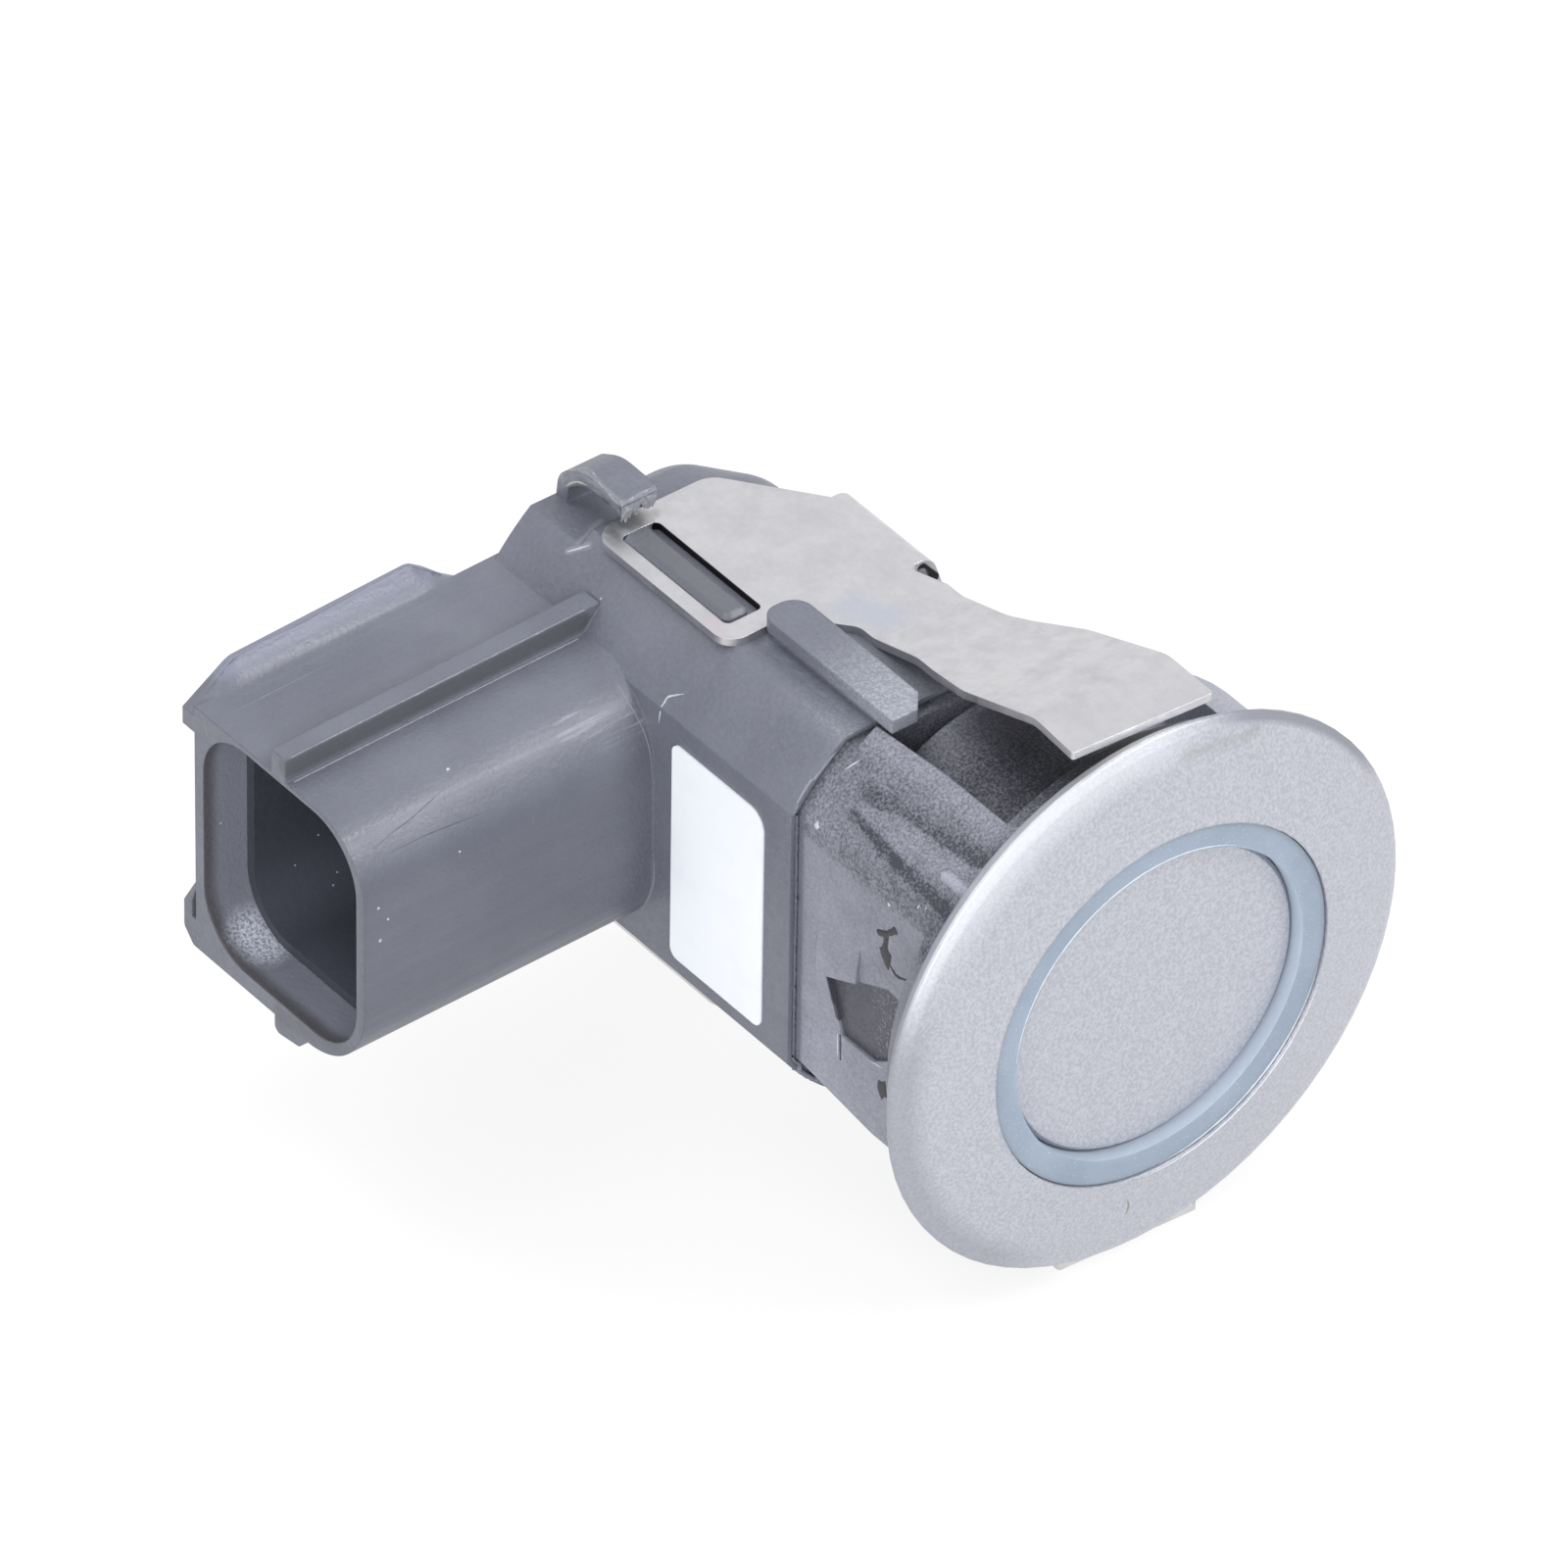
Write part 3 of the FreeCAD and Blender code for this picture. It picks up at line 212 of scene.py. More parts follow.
def mouldedPolyester():
    # Glass-filled PBT, moulded: matte grey skin, faint clouds, drag lines on the shroud
    look = housingLook
    material, tree, shader = newMaterial("mouldedPolyester", IOR=1.55)
    drag = cloud(tree, look["drawMm"], 0.35, 0.7, stretch=(1, 0.02, 1), detail=4.0)
    grains = cloud(tree, look["grainMm"], 0.3, 0.7, detail=2.0)
    onShroud = along(tree, "Y", -9.0, -11.5)
    dragged = together(tree, [drag, onShroud])
    # Walls that look at the socket's axis, so the mouth's inside but not its outside
    where = addNode(tree, "ShaderNodeTexCoord").outputs["Object"]
    outward = addNode(tree, "ShaderNodeNewGeometry").outputs["Normal"]
    toAxis = addNode(tree, "ShaderNodeVectorMath", {0: (look["socketX"] * mm, 0, 0), 1: where},
                     operation="SUBTRACT").outputs[0]
    level = addNode(tree, "ShaderNodeVectorMath", {0: toAxis, 1: (1, 0, 1)}, operation="MULTIPLY").outputs[0]
    inward = addNode(tree, "ShaderNodeVectorMath", {0: level, 1: outward}, operation="DOT_PRODUCT")
    inside = addNode(tree, "ShaderNodeMapRange", {
        "Value": inward.outputs["Value"], "From Min": 0.4 * mm, "From Max": 1.2 * mm}).outputs["Result"]
    inMouth = together(tree, [inside, ("Y", -17.0, -19.0), ("Z", 6.95, 6.75), ("X", -32.15, -31.95)])
    haze = together(tree, [
        inMouth, nearLine(tree, (-30.2, -24.2, -5.2), (-29.4, -24.0, -5.75), 1.55, 0.05)])
    # Overspray: a fine silver dust on the ledge, thicker towards the bezel
    mist = together(tree, [("X", -16.5, -9.3), ("Z", 9.2, 10.7)])
    veil = together(tree, [cloud(tree, look["dustMm"], 0.45, 0.58, detail=2.0), mist])
    tone = layTones(tree, look, {
        "pale": [cloud(tree, look["cloudMm"], 0.35, 0.65)],
        "drag": [dragged],
        "grain": [grains],
        "bodyGrain": [grains, ("Y", -11.5, -9.0)],
        # painted highlight on the ridge's slope
        "slope": [("X", -31.7, -32.5), ("Z", 6.9, 7.5), ("Y", -25.3, -24.3), ("Y", -11.2, -12.2)],
        # painted highlight lines along the shroud's corner
        "streakHighlight": [nearLine(tree, (-21.4, -13.5, 6.4), (-20.7, -10.9, 5.6), 1.1, 0.6),
                   cloud(tree, 0.22, 0.5, 0.72, stretch=(1, 0.06, 1), detail=4.0)],
        # painted shade on the rib's side
        "ribSideShade": [nearLine(tree, (-25.65, -25.6, 7.45), (-25.6, -9.9, 7.9), 0.62, 0.5)],
        # painted shade on the shroud's face towards +X
        "flankShade": [("X", -20.7, -20.2), onShroud, ("Y", -9.9, -10.4)],
        # painted light on the mouth's walls
        "inside": [inMouth],
        # painted shade and dark reflection inside the rim
        "rimShade": [inMouth, ("Y", -24.75, -25.5)],
        "smear": [nearLine(tree, (-26.0, -25.7, -6.4), (-22.0, -25.7, -5.3), 1.0)],
        "haze": [haze],
        "frost": [haze, cloud(tree, look["dustMm"], 0.38, 0.56, detail=2.0)],
        "torn": [("Y", -6.35, -6.5), ("Z", 9.8, 10.1), ("X", -26.9, -27.1), cloud(tree, 0.3, 0.4, 0.7)],
        # painted shadow under the strap's arch
        "arch": [together(tree, [
            nearLine(tree, (-30.7, -6.5, 10.0), (-30.1, -6.5, 10.55), 0.4),
            nearLine(tree, (-30.1, -6.5, 10.55), (-28.3, -6.5, 11.0), 0.4)], "MAXIMUM")],
        "stress": [together(tree, [
            nearLine(tree, (-28.75, -8.2, 8.95), (-28.05, -7.65, 9.45), 0.28),
            nearLine(tree, (-28.6, -7.75, 9.3), (-29.0, -6.7, 9.3), 0.22),
            nearLine(tree, (-29.0, -6.7, 9.3), (-29.2, -6.1, 9.3), 0.3),
            nearLine(tree, (-31.5, -6.5, 10.5), (-30.4, -6.2, 11.4), 0.35),
            nearLine(tree, (-30.4, -6.2, 11.4), (-28.7, -6.5, 11.7), 0.3),
            nearLine(tree, (-28.7, -6.5, 11.7), (-27.4, -6.5, 11.6), 0.3)], "MAXIMUM")],
        "mist": [mist],
        "underLedge": [nearLine(tree, (-18.3, -5.85, 9.6), (-9.6, -5.85, 9.9), 0.55, 0.5),
                       cloud(tree, 0.5, 0.3, 0.7)],
        # painted shade in the clip's window slot
        "slotShade": [nearLine(tree, (-26.2, -5.95, 10.45), (-20.2, -6.3, 10.45), 0.9, 0.6), ("Z", 10.1, 10.25)],
        "veil": [veil],
    })
    rough = addNode(tree, "ShaderNodeMapRange", {
        "Value": drag, "To Min": look["roughness"] - look["glossier"],
        "To Max": look["roughness"] + look["duller"]})
    metallic = together(tree, [veil, look["veilMetallic"]])
    height = together(tree, [grains, together(tree, [dragged, look["dragRelief"]])], "ADD")
    tree.links.new(tone, shader.inputs["Base Color"])
    tree.links.new(rough.outputs["Result"], shader.inputs["Roughness"])
    tree.links.new(metallic, shader.inputs["Metallic"])
    relief(tree, shader, height, look["reliefMm"], look["edgeMm"])
    return material


silverLook = {
    "dark": "#8E909A",  # between the flakes
    "flake": ("#DDDFE6", 1.0),
    "colour": ("#B4B6BF", 0.76),  # over both, so that the flakes only glimmer
    "flakeMm": 0.15,  # drawn coarser than the real ones, so that they show
    "roughness": 0.42, "metallic": 0.65,
    "coat": 0.15, "coatRoughness": 0.25,
    "reliefMm": 0.004, "edgeMm": 0.1,
    "brow": ("#EBEDF2", 0.42),  # painted reflection of the sky on the bezel's domed edge, on its upper side
    "glow": ("#EBEDF2", 0.4),  # painted highlight on its rim's near top
    "nearBand": ("#8A8C95", 0.5),  # the same edge low down, turned from the light
    "farTopShade": ("#8A8C95", 0.9),  # painted shade on the rim's far top, dimming its reflection
    "brownMark": ("#94928A", 0.75),  # a brownish mark across the brow
    # Behind the bezel: bare black plastic under thin spray
    "primer": "#363740",
    "drop": ("#A0A2AF", 1.0),  # dry drops of spray on it
    "dropMm": 0.13,
    "settled": 0.28,  # how thick it lies, from none at 0 to a closed coat at 1
    "speckle": 0.52, "drift": 0.12,  # how much drops and drifts vary that
    "calm": 0.45,  # and the share of the drops that shows on the flat
    "mark": ("#43434C", 0.8),  # the pressed mark stayed bare
    "markWall": ("#43434C", 1.0),
    "markDust": ("#A0A2AF", 0.5),
    "dirt": ("#666873", 0.75),  # painted shade in a band along the joint
    "under": ("#161619", 0.6),  # no spray gets under the clip's tongue, and its shadow is painted there
    "thinMetallic": 0.12, "dryRoughness": 0.62,
    "dropRelief": 2.5, "barrelReliefMm": 0.005, "barrelEdgeMm": 0.12,
}


def silverPaint(name, sprayed):
    # Metallic basecoat under clear lacquer, sprayed: a fine sparkle of flakes. With
    # sprayed on, it thins out behind the bezel, where dark plastic shows between drops.
    look = silverLook
    material, tree, shader = newMaterial(name, **{
        "Coat Weight": look["coat"], "Coat Roughness": look["coatRoughness"],
        "Roughness": look["roughness"], "Metallic": look["metallic"]})
    flakes = cloud(tree, look["flakeMm"], 0.36, 0.64, detail=2.0)
    where = addNode(tree, "ShaderNodeTexCoord").outputs["Object"]
    offAxis = addNode(tree, "ShaderNodeVectorMath", {0: where, 1: (0, 1, 1)}, operation="MULTIPLY")
    radius = addNode(tree, "ShaderNodeVectorMath", {0: offAxis.outputs[0]},
                     operation="LENGTH").outputs["Value"]
    rim = addNode(tree, "ShaderNodeMapRange", {
        "Value": radius, "From Min": 13.25 * mm, "From Max": 13.55 * mm}).outputs["Result"]
    brow = addNode(tree, "ShaderNodeMapRange", {
        "Value": radius, "From Min": 12.1 * mm, "From Max": 13.1 * mm}).outputs["Result"]
    tone = layTones(tree, look, base="dark", masks={
        "flake": [flakes],
        "colour": [],
        # painted reflection on the brow's upper side
        "brow": [brow, ("Z", 4.5, 10.5), ("Y", 3.5, -0.5)],
        # painted highlight on the rim's near top
        "glow": [rim, ("Y", -1.0, -6.0), ("Z", 3.0, 7.0)],
        "nearBand": [brow, ("Y", -4.5, -8.5), ("Z", 6.0, 2.0)],
        "farTopShade": [rim, ("Z", 5.0, 8.0), ("Y", 2.5, 5.5)],
        "brownMark": [nearLine(tree, (1.3, 1.6, 12.4), (1.2, 5.4, 11.8), 0.55, 0.0),
                  cloud(tree, 0.5, 0.3, 0.7, stretch=(1, 0.3, 1))],
    })
    if not sprayed:
        tree.links.new(tone, shader.inputs["Base Color"])
        relief(tree, shader, flakes, look["reliefMm"], look["edgeMm"])
        return material
    behind = along(tree, "X", 0.25, -0.25)
    drops = cloud(tree, look["dropMm"], 0.32, 0.68, detail=2.0)
    drift = cloud(tree, 1.6, 0.35, 0.65, detail=4.0)
    onFlat = along(tree, "Y", -9.3, -9.5)
    # The wedge rib's two faces, each between its crest and its own edge
    crest = (-4.5, -8.53, 8.8)
    upperFace = together(tree, [
        beyond(tree, crest, (0, 1, 0), 0.03), beyond(tree, (-8.45, -8.45, 8.3), (0.2, -1, 0), 0.05),
        beyond(tree, (-4.5, -7.9, 9.2), (0.03, -1, 0), 0.06), beyond(tree, crest, (0, 0, 1), 0.9)])
    lowerFace = together(tree, [
        beyond(tree, crest, (0, -1, 0), 0.03), beyond(tree, (-8.3, -8.58, 8.2), (0.11, 1, 0), 0.05),
        beyond(tree, (-4.5, -9.3, 8.0), (0, 0, 1), 0.5)])
    # Where more spray has settled, and where less; some rows paint light and shade, as noted
    coats = [
        (0.22, [onFlat, ("Z", 6.2, 5.5)]),
        (0.22, [("Y", -7.2, -6.3), ("Y", -5.7, -5.9)]),  # edge of the channel
        (0.14, [("Y", -7.6, -9.0), ("X", -5.5, -9.5)]),  # rear of the corner
        (0.12, [("Y", -5.9, -5.7), ("X", -5.6, -8.6)]),  # rear of the channel; with the next row, the tongue's painted shadow
        (-0.22, [("Y", -5.9, -4.0), ("X", -8.6, -5.6)]),  # under the tongue: painted shadow
        (0.75, [("Y", 3.2, 4.6), ("X", -8.5, -6.5)]),  # the far side
        (-0.12, [("X", -2.6, -0.6)]),  # close to the bezel: soot, and painted shade
        # painted light on the wedge rib's faces, the upper face most
        (0.34, [upperFace]),
        (0.2, [lowerFace]),
        (0.5, [nearLine(tree, (-1.9, -8.75, 8.85), (-0.6, -8.8, 8.95), 0.4, 0.3)]),
        (-0.34, [nearLine(tree, (-8.3, -8.75, 8.15), (-4.7, -9.12, 7.95), 0.42)]),  # painted shade below the rib
        (-0.34, [nearLine(tree, (-4.7, -9.12, 7.95), (-0.8, -9.3, 7.8), 0.6)]),
        (-0.2, [nearLine(tree, (-8.3, -7.9, 8.85), (-1.0, -7.55, 9.6), 0.7)]),  # painted shade above it
        (0.12, [("Z", 2.0, -9.0)]),
    ]
    cover = look["settled"]
    for more, masks in coats:
        cover = addNode(tree, "ShaderNodeMath", {0: together(tree, masks), 1: more, 2: cover},
                        operation="MULTIPLY_ADD").outputs[0]
    # Drops stand out less on the flat
    speck = addNode(tree, "ShaderNodeMath", {0: drops, 1: look["speckle"], 2: -look["speckle"] / 2},
                    operation="MULTIPLY_ADD").outputs[0]
    calm = addNode(tree, "ShaderNodeMapRange", {
        "Value": together(tree, [onFlat, ("Z", 6.4, 5.2)]),
        "To Min": 1.0, "To Max": look["calm"]})
    cover = together(tree, [cover, together(tree, [speck, calm.outputs["Result"]]),
                            together(tree, [drift, look["drift"]])], "ADD")
    cover = addNode(tree, "ShaderNodeClamp", {"Value": cover}).outputs[0]
    mark = together(tree, [
        ("X", -8.9, -8.7), ("Y", -9.45, -9.35), ("Y", -8.9, -9.1), ("Z", 1.6, 1.3), ("Z", -3.7, -3.5)])
    behindTone = layTones(tree, look, base="primer", masks={
        "drop": [cover],
        "mark": [mark],
        "markWall": [nearLine(tree, (-8.6, -9.5, -0.65), (-7.95, -9.45, -2.55), 0.24, 0.75)],
        # painted shade along the joint
        "dirt": [("X", -10.35, -10.6), onFlat],
        "markDust": [mark, cloud(tree, 0.16, 0.55, 0.62), ("X", -6.6, -4.6)],
        # painted shadow under the clip's tongue
        "under": [("Y", -4.8, -1.0), ("Y", 4.2, 3.0), ("Z", 6.0, 7.5), ("X", -9.4, -8.2)],
    })
    tone = addNode(tree, "ShaderNodeMix", {0: behind, 6: tone, 7: behindTone}, data_type="RGBA").outputs[2]
    metallic = addNode(tree, "ShaderNodeMapRange", {
        "Value": behind, "To Min": look["metallic"], "To Max": look["thinMetallic"]})
    rough = addNode(tree, "ShaderNodeMapRange", {
        "Value": behind, "To Min": look["roughness"], "To Max": look["dryRoughness"]})
    height = together(tree, [flakes, together(tree, [behind, drops, look["dropRelief"]])], "ADD")
    tree.links.new(tone, shader.inputs["Base Color"])
    tree.links.new(metallic.outputs["Result"], shader.inputs["Metallic"])
    tree.links.new(rough.outputs["Result"], shader.inputs["Roughness"])
    relief(tree, shader, height, look["barrelReliefMm"], look["barrelEdgeMm"])
    return material


clipLook = {
    "colour": "#D5D4D6",
    "roughness": 0.36, "duller": 0.12, "glossier": 0.05,  # and how far its blotches change it
    "rollMm": 0.2,  # rolling lines, drawn coarser than they are so that they show
    "blotchMm": 1.5, "mottleMm": 0.3,
    "reliefMm": 0.002, "edgeMm": 0.04,
    "blotch": ("#C6C5C8", 1.0),
    "line": ("#DDDFE0", 0.12),
    "mottle": ("#C6C5C8", 0.3),
    "lit": ("#F3F3F2", 0.7),  # painted light on its near corner, against the hook's dark reflection there
    "blue": ("#BFC5D4", 0.5),  # temper tints
    "pink": ("#D3C6CC", 0.5),
    "smear": ("#8B8A84", 0.4),  # brown, where the torn strap rubbed
    "cut": ("#2E2D2F", 1.0),  # painted shade on cut edges turned from the light, the window's
    "farCutShade": ("#2E2D2F", 1.0),  # and painted shade on the rear corner's cut edge
}


def rolledSteel():
    # Stainless spring steel, cold rolled and tempered: grey sheen, faint blotches, temper tints
    look = clipLook
    material, tree, shader = newMaterial("rolledSteel", Metallic=1.0)
    lines = cloud(tree, look["rollMm"], 0.3, 0.7, stretch=(0.04, 1, 1))
    blotch = cloud(tree, look["blotchMm"], 0.4, 0.66, detail=6.0, rough=0.68)
    tone = layTones(tree, look, {
        "blotch": [blotch],
        "line": [lines],
        "mottle": [cloud(tree, look["mottleMm"], 0.4, 0.7)],
        # painted light on the near corner
        "lit": [nearLine(tree, (-27.3, -6.4, 10.2), (-27.0, -5.6, 10.2), 1.0)],
        "blue": [nearLine(tree, (-17.1, -1.8, 10.2), (-15.6, -1.0, 10.2), 1.5)],
        "pink": [nearLine(tree, (-19.4, -7.5, 10.2), (-19.9, -7.1, 10.2), 0.9)],
        "smear": [nearLine(tree, (-27.6, -5.4, 10.2), (-27.3, -4.7, 10.2), 0.5)],
        # painted shade on the window's cut edge
        "cut": [nearLine(tree, (-26.9, -4.87, 10.0), (-19.8, -4.87, 10.0), 0.3, 0.9), ("Z", 10.24, 10.18)],
        "farCutShade": [nearLine(tree, (-17.8, 2.5, 9.85), (-17.8, 3.2, 9.0), 0.3, 0.7)],
    })
    rough = addNode(tree, "ShaderNodeMapRange", {
        "Value": blotch, "To Min": look["roughness"] - look["glossier"],
        "To Max": look["roughness"] + look["duller"]})
    tree.links.new(tone, shader.inputs["Base Color"])
    tree.links.new(rough.outputs["Result"], shader.inputs["Roughness"])
    relief(tree, shader, lines, look["reliefMm"], look["edgeMm"])
    return material


siliconeLook = {
    "colour": "#8895A4",
    "pale": ("#929EAD", 1.0), "cloudMm": 3.0,
    "wall": ("#B4BFCB", 0.8),  # painted light on its inner wall, lightened against its shade
    "dust": ("#C9D0D8", 0.4), "dustMm": 0.12,
    "roughness": 0.4,
    "depthMm": 1.5,  # how far light gets into it
    "skinMm": 0.3, "reliefMm": 0.004, "edgeMm": 0.1,
}


def siliconeRubber():
    # Liquid silicone, moulded: milky blue-grey, light enters it, a satin skin that holds dust
    look = siliconeLook
    material, tree, shader = newMaterial("siliconeRubber", **{
        "IOR": 1.41, "Roughness": look["roughness"], "Subsurface Weight": 0.3,
        "Subsurface Scale": look["depthMm"] * mm, "Subsurface Radius": (0.8, 1.0, 1.1)})
    tone = layTones(tree, look, {
        "pale": [cloud(tree, look["cloudMm"], 0.35, 0.65)],
        # painted light on the inner wall
        "wall": [facing(tree, "X", 0.7, 0.2)],
        "dust": [cloud(tree, look["dustMm"], 0.66, 0.72, detail=1.0)],
    })
    tree.links.new(tone, shader.inputs["Base Color"])
    relief(tree, shader, cloud(tree, look["skinMm"], 0.3, 0.7), look["reliefMm"], look["edgeMm"])
    return material


carrierLook = {
    "colour": "#3C3E47",
    "roughness": 0.45,
    "grain": ("#4A4C56", 0.4), "grainMm": 0.3, "reliefMm": 0.008,
    "low": ("#5A5C6A", 0.55),  # its lower walls, which catch the light of the mouth
    "rim": ("#303138", 0.6),
}


def blackPolyester():
    # PBT dyed black, moulded: dark and even, with painted light on the walls below
    look = carrierLook
    material, tree, shader = newMaterial("blackPolyester", IOR=1.55, Roughness=look["roughness"])
    grains = cloud(tree, look["grainMm"], 0.4, 0.7)
    tone = layTones(tree, look, {
        "grain": [grains],
        "low": [("Z", 0.0, -5.2)],
        "rim": [facing(tree, "Y", -0.3, -0.8), ("Y", -22.0, -23.0)],
    })
    tree.links.new(tone, shader.inputs["Base Color"])
    relief(tree, shader, grains, look["reliefMm"])
    return material


fleckedLook = {"low": 0.5, "high": 0.7, "edgeMm": 0.05}  # where its flecks start and close up


def flecked(name, base, fleck, grainMm, roughness, metallic=0.0, depthMm=0.01, stretch=(1, 1, 1)):
    # Plain industrial finishes told apart by their colours, grain and sheen
    look = fleckedLook
    material, tree, shader = newMaterial(name, Roughness=roughness, Metallic=metallic)
    grain = cloud(tree, grainMm, look["low"], look["high"], stretch=stretch)
    tone = layTones(tree, {"colour": base, "fleck": (fleck, 1.0)}, {"fleck": [grain]})
    tree.links.new(tone, shader.inputs["Base Color"])
    relief(tree, shader, grain, depthMm, look["edgeMm"])
    return material


finishes = {
    "bezel_barrel": silverPaint("sprayedBarrel", True),
    "transducer_cup": silverPaint("paintedDisc", False),
    "decoupling_ring": siliconeRubber(),
    "housing": mouldedPolyester(),
    "retaining_clip": rolledSteel(),
    "contact_carrier": blackPolyester(),
    # Polyester film, printed white: flat and matte
    "label": flecked("printedFilm", "#F1F4F9", "#EDF0F6", 2.5, 0.5, depthMm=0.004),
    # Brass wire, tinned: a soft warm shine with lines along the draw
    "connector_terminals": flecked(
        "tinnedBrass", "#B9B19A", "#D5D0C0", 0.1, 0.35, 1.0, 0.003, stretch=(1, 0.1, 1)),
    # Sealing compound, squeezed out of the joint: lumpy, painted a lighter grey to lift the joint's shade
    "joint_seal": flecked("lightenedJointSealant", "#747781", "#80838D", 0.8, 0.5, depthMm=0.05),
    # Polyurethane, cast: nearly black, glossy, with slight waves
    "potting": flecked("pottedPolyurethane", "#1B1C20", "#24252A", 4.0, 0.3, depthMm=0.15),
    # Ceramic, fired and ground: sandy and dull
    "piezo_disc": flecked("firedPiezoCeramic", "#C9B98F", "#B7A880", 0.05, 0.7),
    # Cork crumbs bound with rubber: brown, coarse and rough
    "damping_pad": flecked("corkRubber", "#7A5636", "#4A3320", 0.5, 0.85, depthMm=0.05),
    # Silicone, foamed in place: off-white with fine cells
    "transducer_filling": flecked("foamedSilicone", "#D9DAD6", "#BEBFBB", 0.2, 0.7, depthMm=0.03),
    # Nylon, moulded: dark and satin
    "transducer_base": flecked("mouldedNylon", "#2A2B2F", "#33353A", 0.3, 0.5),
    # Glass fibre laminate under solder resist: green, the weave just shows
    "circuit_board": flecked("glassFibreLaminate", "#1E5A36", "#2B6E45", 0.35, 0.35, stretch=(1, 1, 4)),
    # Epoxy, moulded round the chip: black and matte
    "control_chip": flecked("mouldedEpoxy", "#202124", "#2B2C30", 0.1, 0.6),
    # Copper, stamped and tinned: bright and slightly frosted
    "control_chip_leads": flecked("tinnedCopper", "#C6C8CA", "#AEB0B3", 0.08, 0.35, 1.0, 0.002),
    # Ferrite, pressed and sintered: dark grey, gritty
    "transformer_core": flecked("sinteredFerrite", "#34343A", "#45454C", 0.12, 0.65),
    # Copper wire, enamelled and wound: orange-brown, ribbed by its turns
    "transformer_coil": flecked(
        "enamelledWire", "#A8501F", "#6E2F10", 0.12, 0.3, 0.6, 0.04, stretch=(1, 0.05, 0.05)),
    # Ceramic layers, fired: tan and smooth
    "ceramic_capacitors": flecked("layeredCeramic", "#A58A62", "#957A55", 0.1, 0.5),
    # Ceramic under glass glaze: black and glossy
    "chip_resistors": flecked("glazedResistor", "#1C1C1F", "#2A2A2E", 0.2, 0.3),
    # Epoxy, moulded: deep yellow and satin
    "tantalum_capacitor": flecked("yellowEpoxy", "#D09A2C", "#C18C24", 0.2, 0.5),
    # Steel, drawn into a can: bright and smooth
    "resonator": flecked("pressedSteelCan", "#BFC1C4", "#ABADB0", 0.1, 0.3, 1.0, 0.002),
    # Silicone sleeve, extruded: nearly black and soft
    "transducer_leads": flecked("siliconeSleeve", "#26262A", "#303035", 0.5, 0.5),
}
for nodeName, finish in finishes.items():
    slots = nodes[nodeName].data.materials
    slots.clear()
    slots.append(finish)
print("finishes:", len(finishes))

# The same plastics, paint and rubber where they are worn, torn or marked, and lighter copies of them for
# painted highlights and for lifting shade in grooves
edgeHighlightAndCrack = flecked("highlitEdgeAndCrackPolyester", "#8A8D97", "#9699A3", 0.15, 0.45)  # painted highlight on lit edges, and the strap's pale crack
whitened = flecked("whitenedPolyester", "#7F818A", "#B2B3B4", 0.35, 0.6, depthMm=0.04)  # torn, stretched
darkScore = flecked("scoredPolyester", "#4A4C55", "#3E4049", 0.2, 0.5)  # scratches filled with dirt
darkMarkAndShade = flecked("bareMarkAndShadePolyester", "#2E2E34", "#3A3A41", 0.15, 0.5)  # where the spray flaked off, and painted shade in a notch and a small recess
burrAndShine = flecked("burrAndShinePolyester", "#6E717C", "#82858F", 0.15, 0.5)  # burrs and ejector rings, and painted shine lines on the shroud
lightenedBead = flecked("lightenedBeadSealant", "#757884", "#80838E", 0.3, 0.5, depthMm=0.02)  # along the lip, lightened to lift the groove's shade: painted light
ringShine = flecked("ringEdgeHighlight", "#C9D0D8", "#BCC4CD", 0.3, 0.3)  # painted highlight where the ring's edges catch light
bareShine = flecked("bezelEdgeHighlight", "#E6E8EE", "#F2F3F6", 0.2, 0.3, 0.2)  # painted highlight on the bezel's lit edge
paintNick = flecked("wornPaint", "#8E8C86", "#A3A29C", 0.15, 0.5, 0.2)  # brownish cut in the bezel
residue = flecked("driedResidue", "#B7B8AE", "#9A9B95", 0.2, 0.55, depthMm=0.04)  # yellowish smear
paleDust = flecked("settledDust", "#B9BBC4", "#CBCDD4", 0.06, 0.7)  # dull and pale
dropsAndGlints = flecked("paintDropsAndGlints", "#C5C7D0", "#D6D8E0", 0.06, 0.45, 0.3)  # silver drops of paint, a little shiny, and painted highlights on edges

skins = {}


def skinOf(nodeName):
    # A node's surface, made once, on which places are looked up
    if nodeName not in skins:
        mesh = nodes[nodeName].data
        skins[nodeName] = BVHTree.FromPolygons(
            [tuple(v.co) for v in mesh.vertices], [tuple(p.vertices) for p in mesh.polygons])
    return skins[nodeName]


def onSkin(nodeName, place):
    # The nearest place on a node's surface, in mm, and the way out of it
    spot, outward = skinOf(nodeName).find_nearest(Vector(place) * mm)[:2]
    return spot / mm, outward


def smoothPath(points, step):
    # A rounded run through a few places, with a point every step mm or so
    points = [Vector(p) for p in points]
    ends = [points[0] * 2 - points[1]] + points + [points[-1] * 2 - points[-2]]
    run = []
    for a, b, c, d in zip(ends, ends[1:], ends[2:], ends[3:]):
        pieces = max(2, int((c - b).length / step))
        for i in range(pieces):
            t = i / pieces
            run.append(0.5 * (2 * b + (c - a) * t + (2 * a - 5 * b + 4 * c - d) * t * t
                              + (3 * b - a - 3 * c + d) * t ** 3))
    return run + [points[-1]]


def joinRows(form, rows, turned=False):
    # Faces between neighbouring rows of points
    for one, two in zip(rows, rows[1:]):
        for a, b, c, d in zip(one, one[1:], two[1:], two):
            form.faces.new((a, d, c, b) if turned else (a, b, c, d))


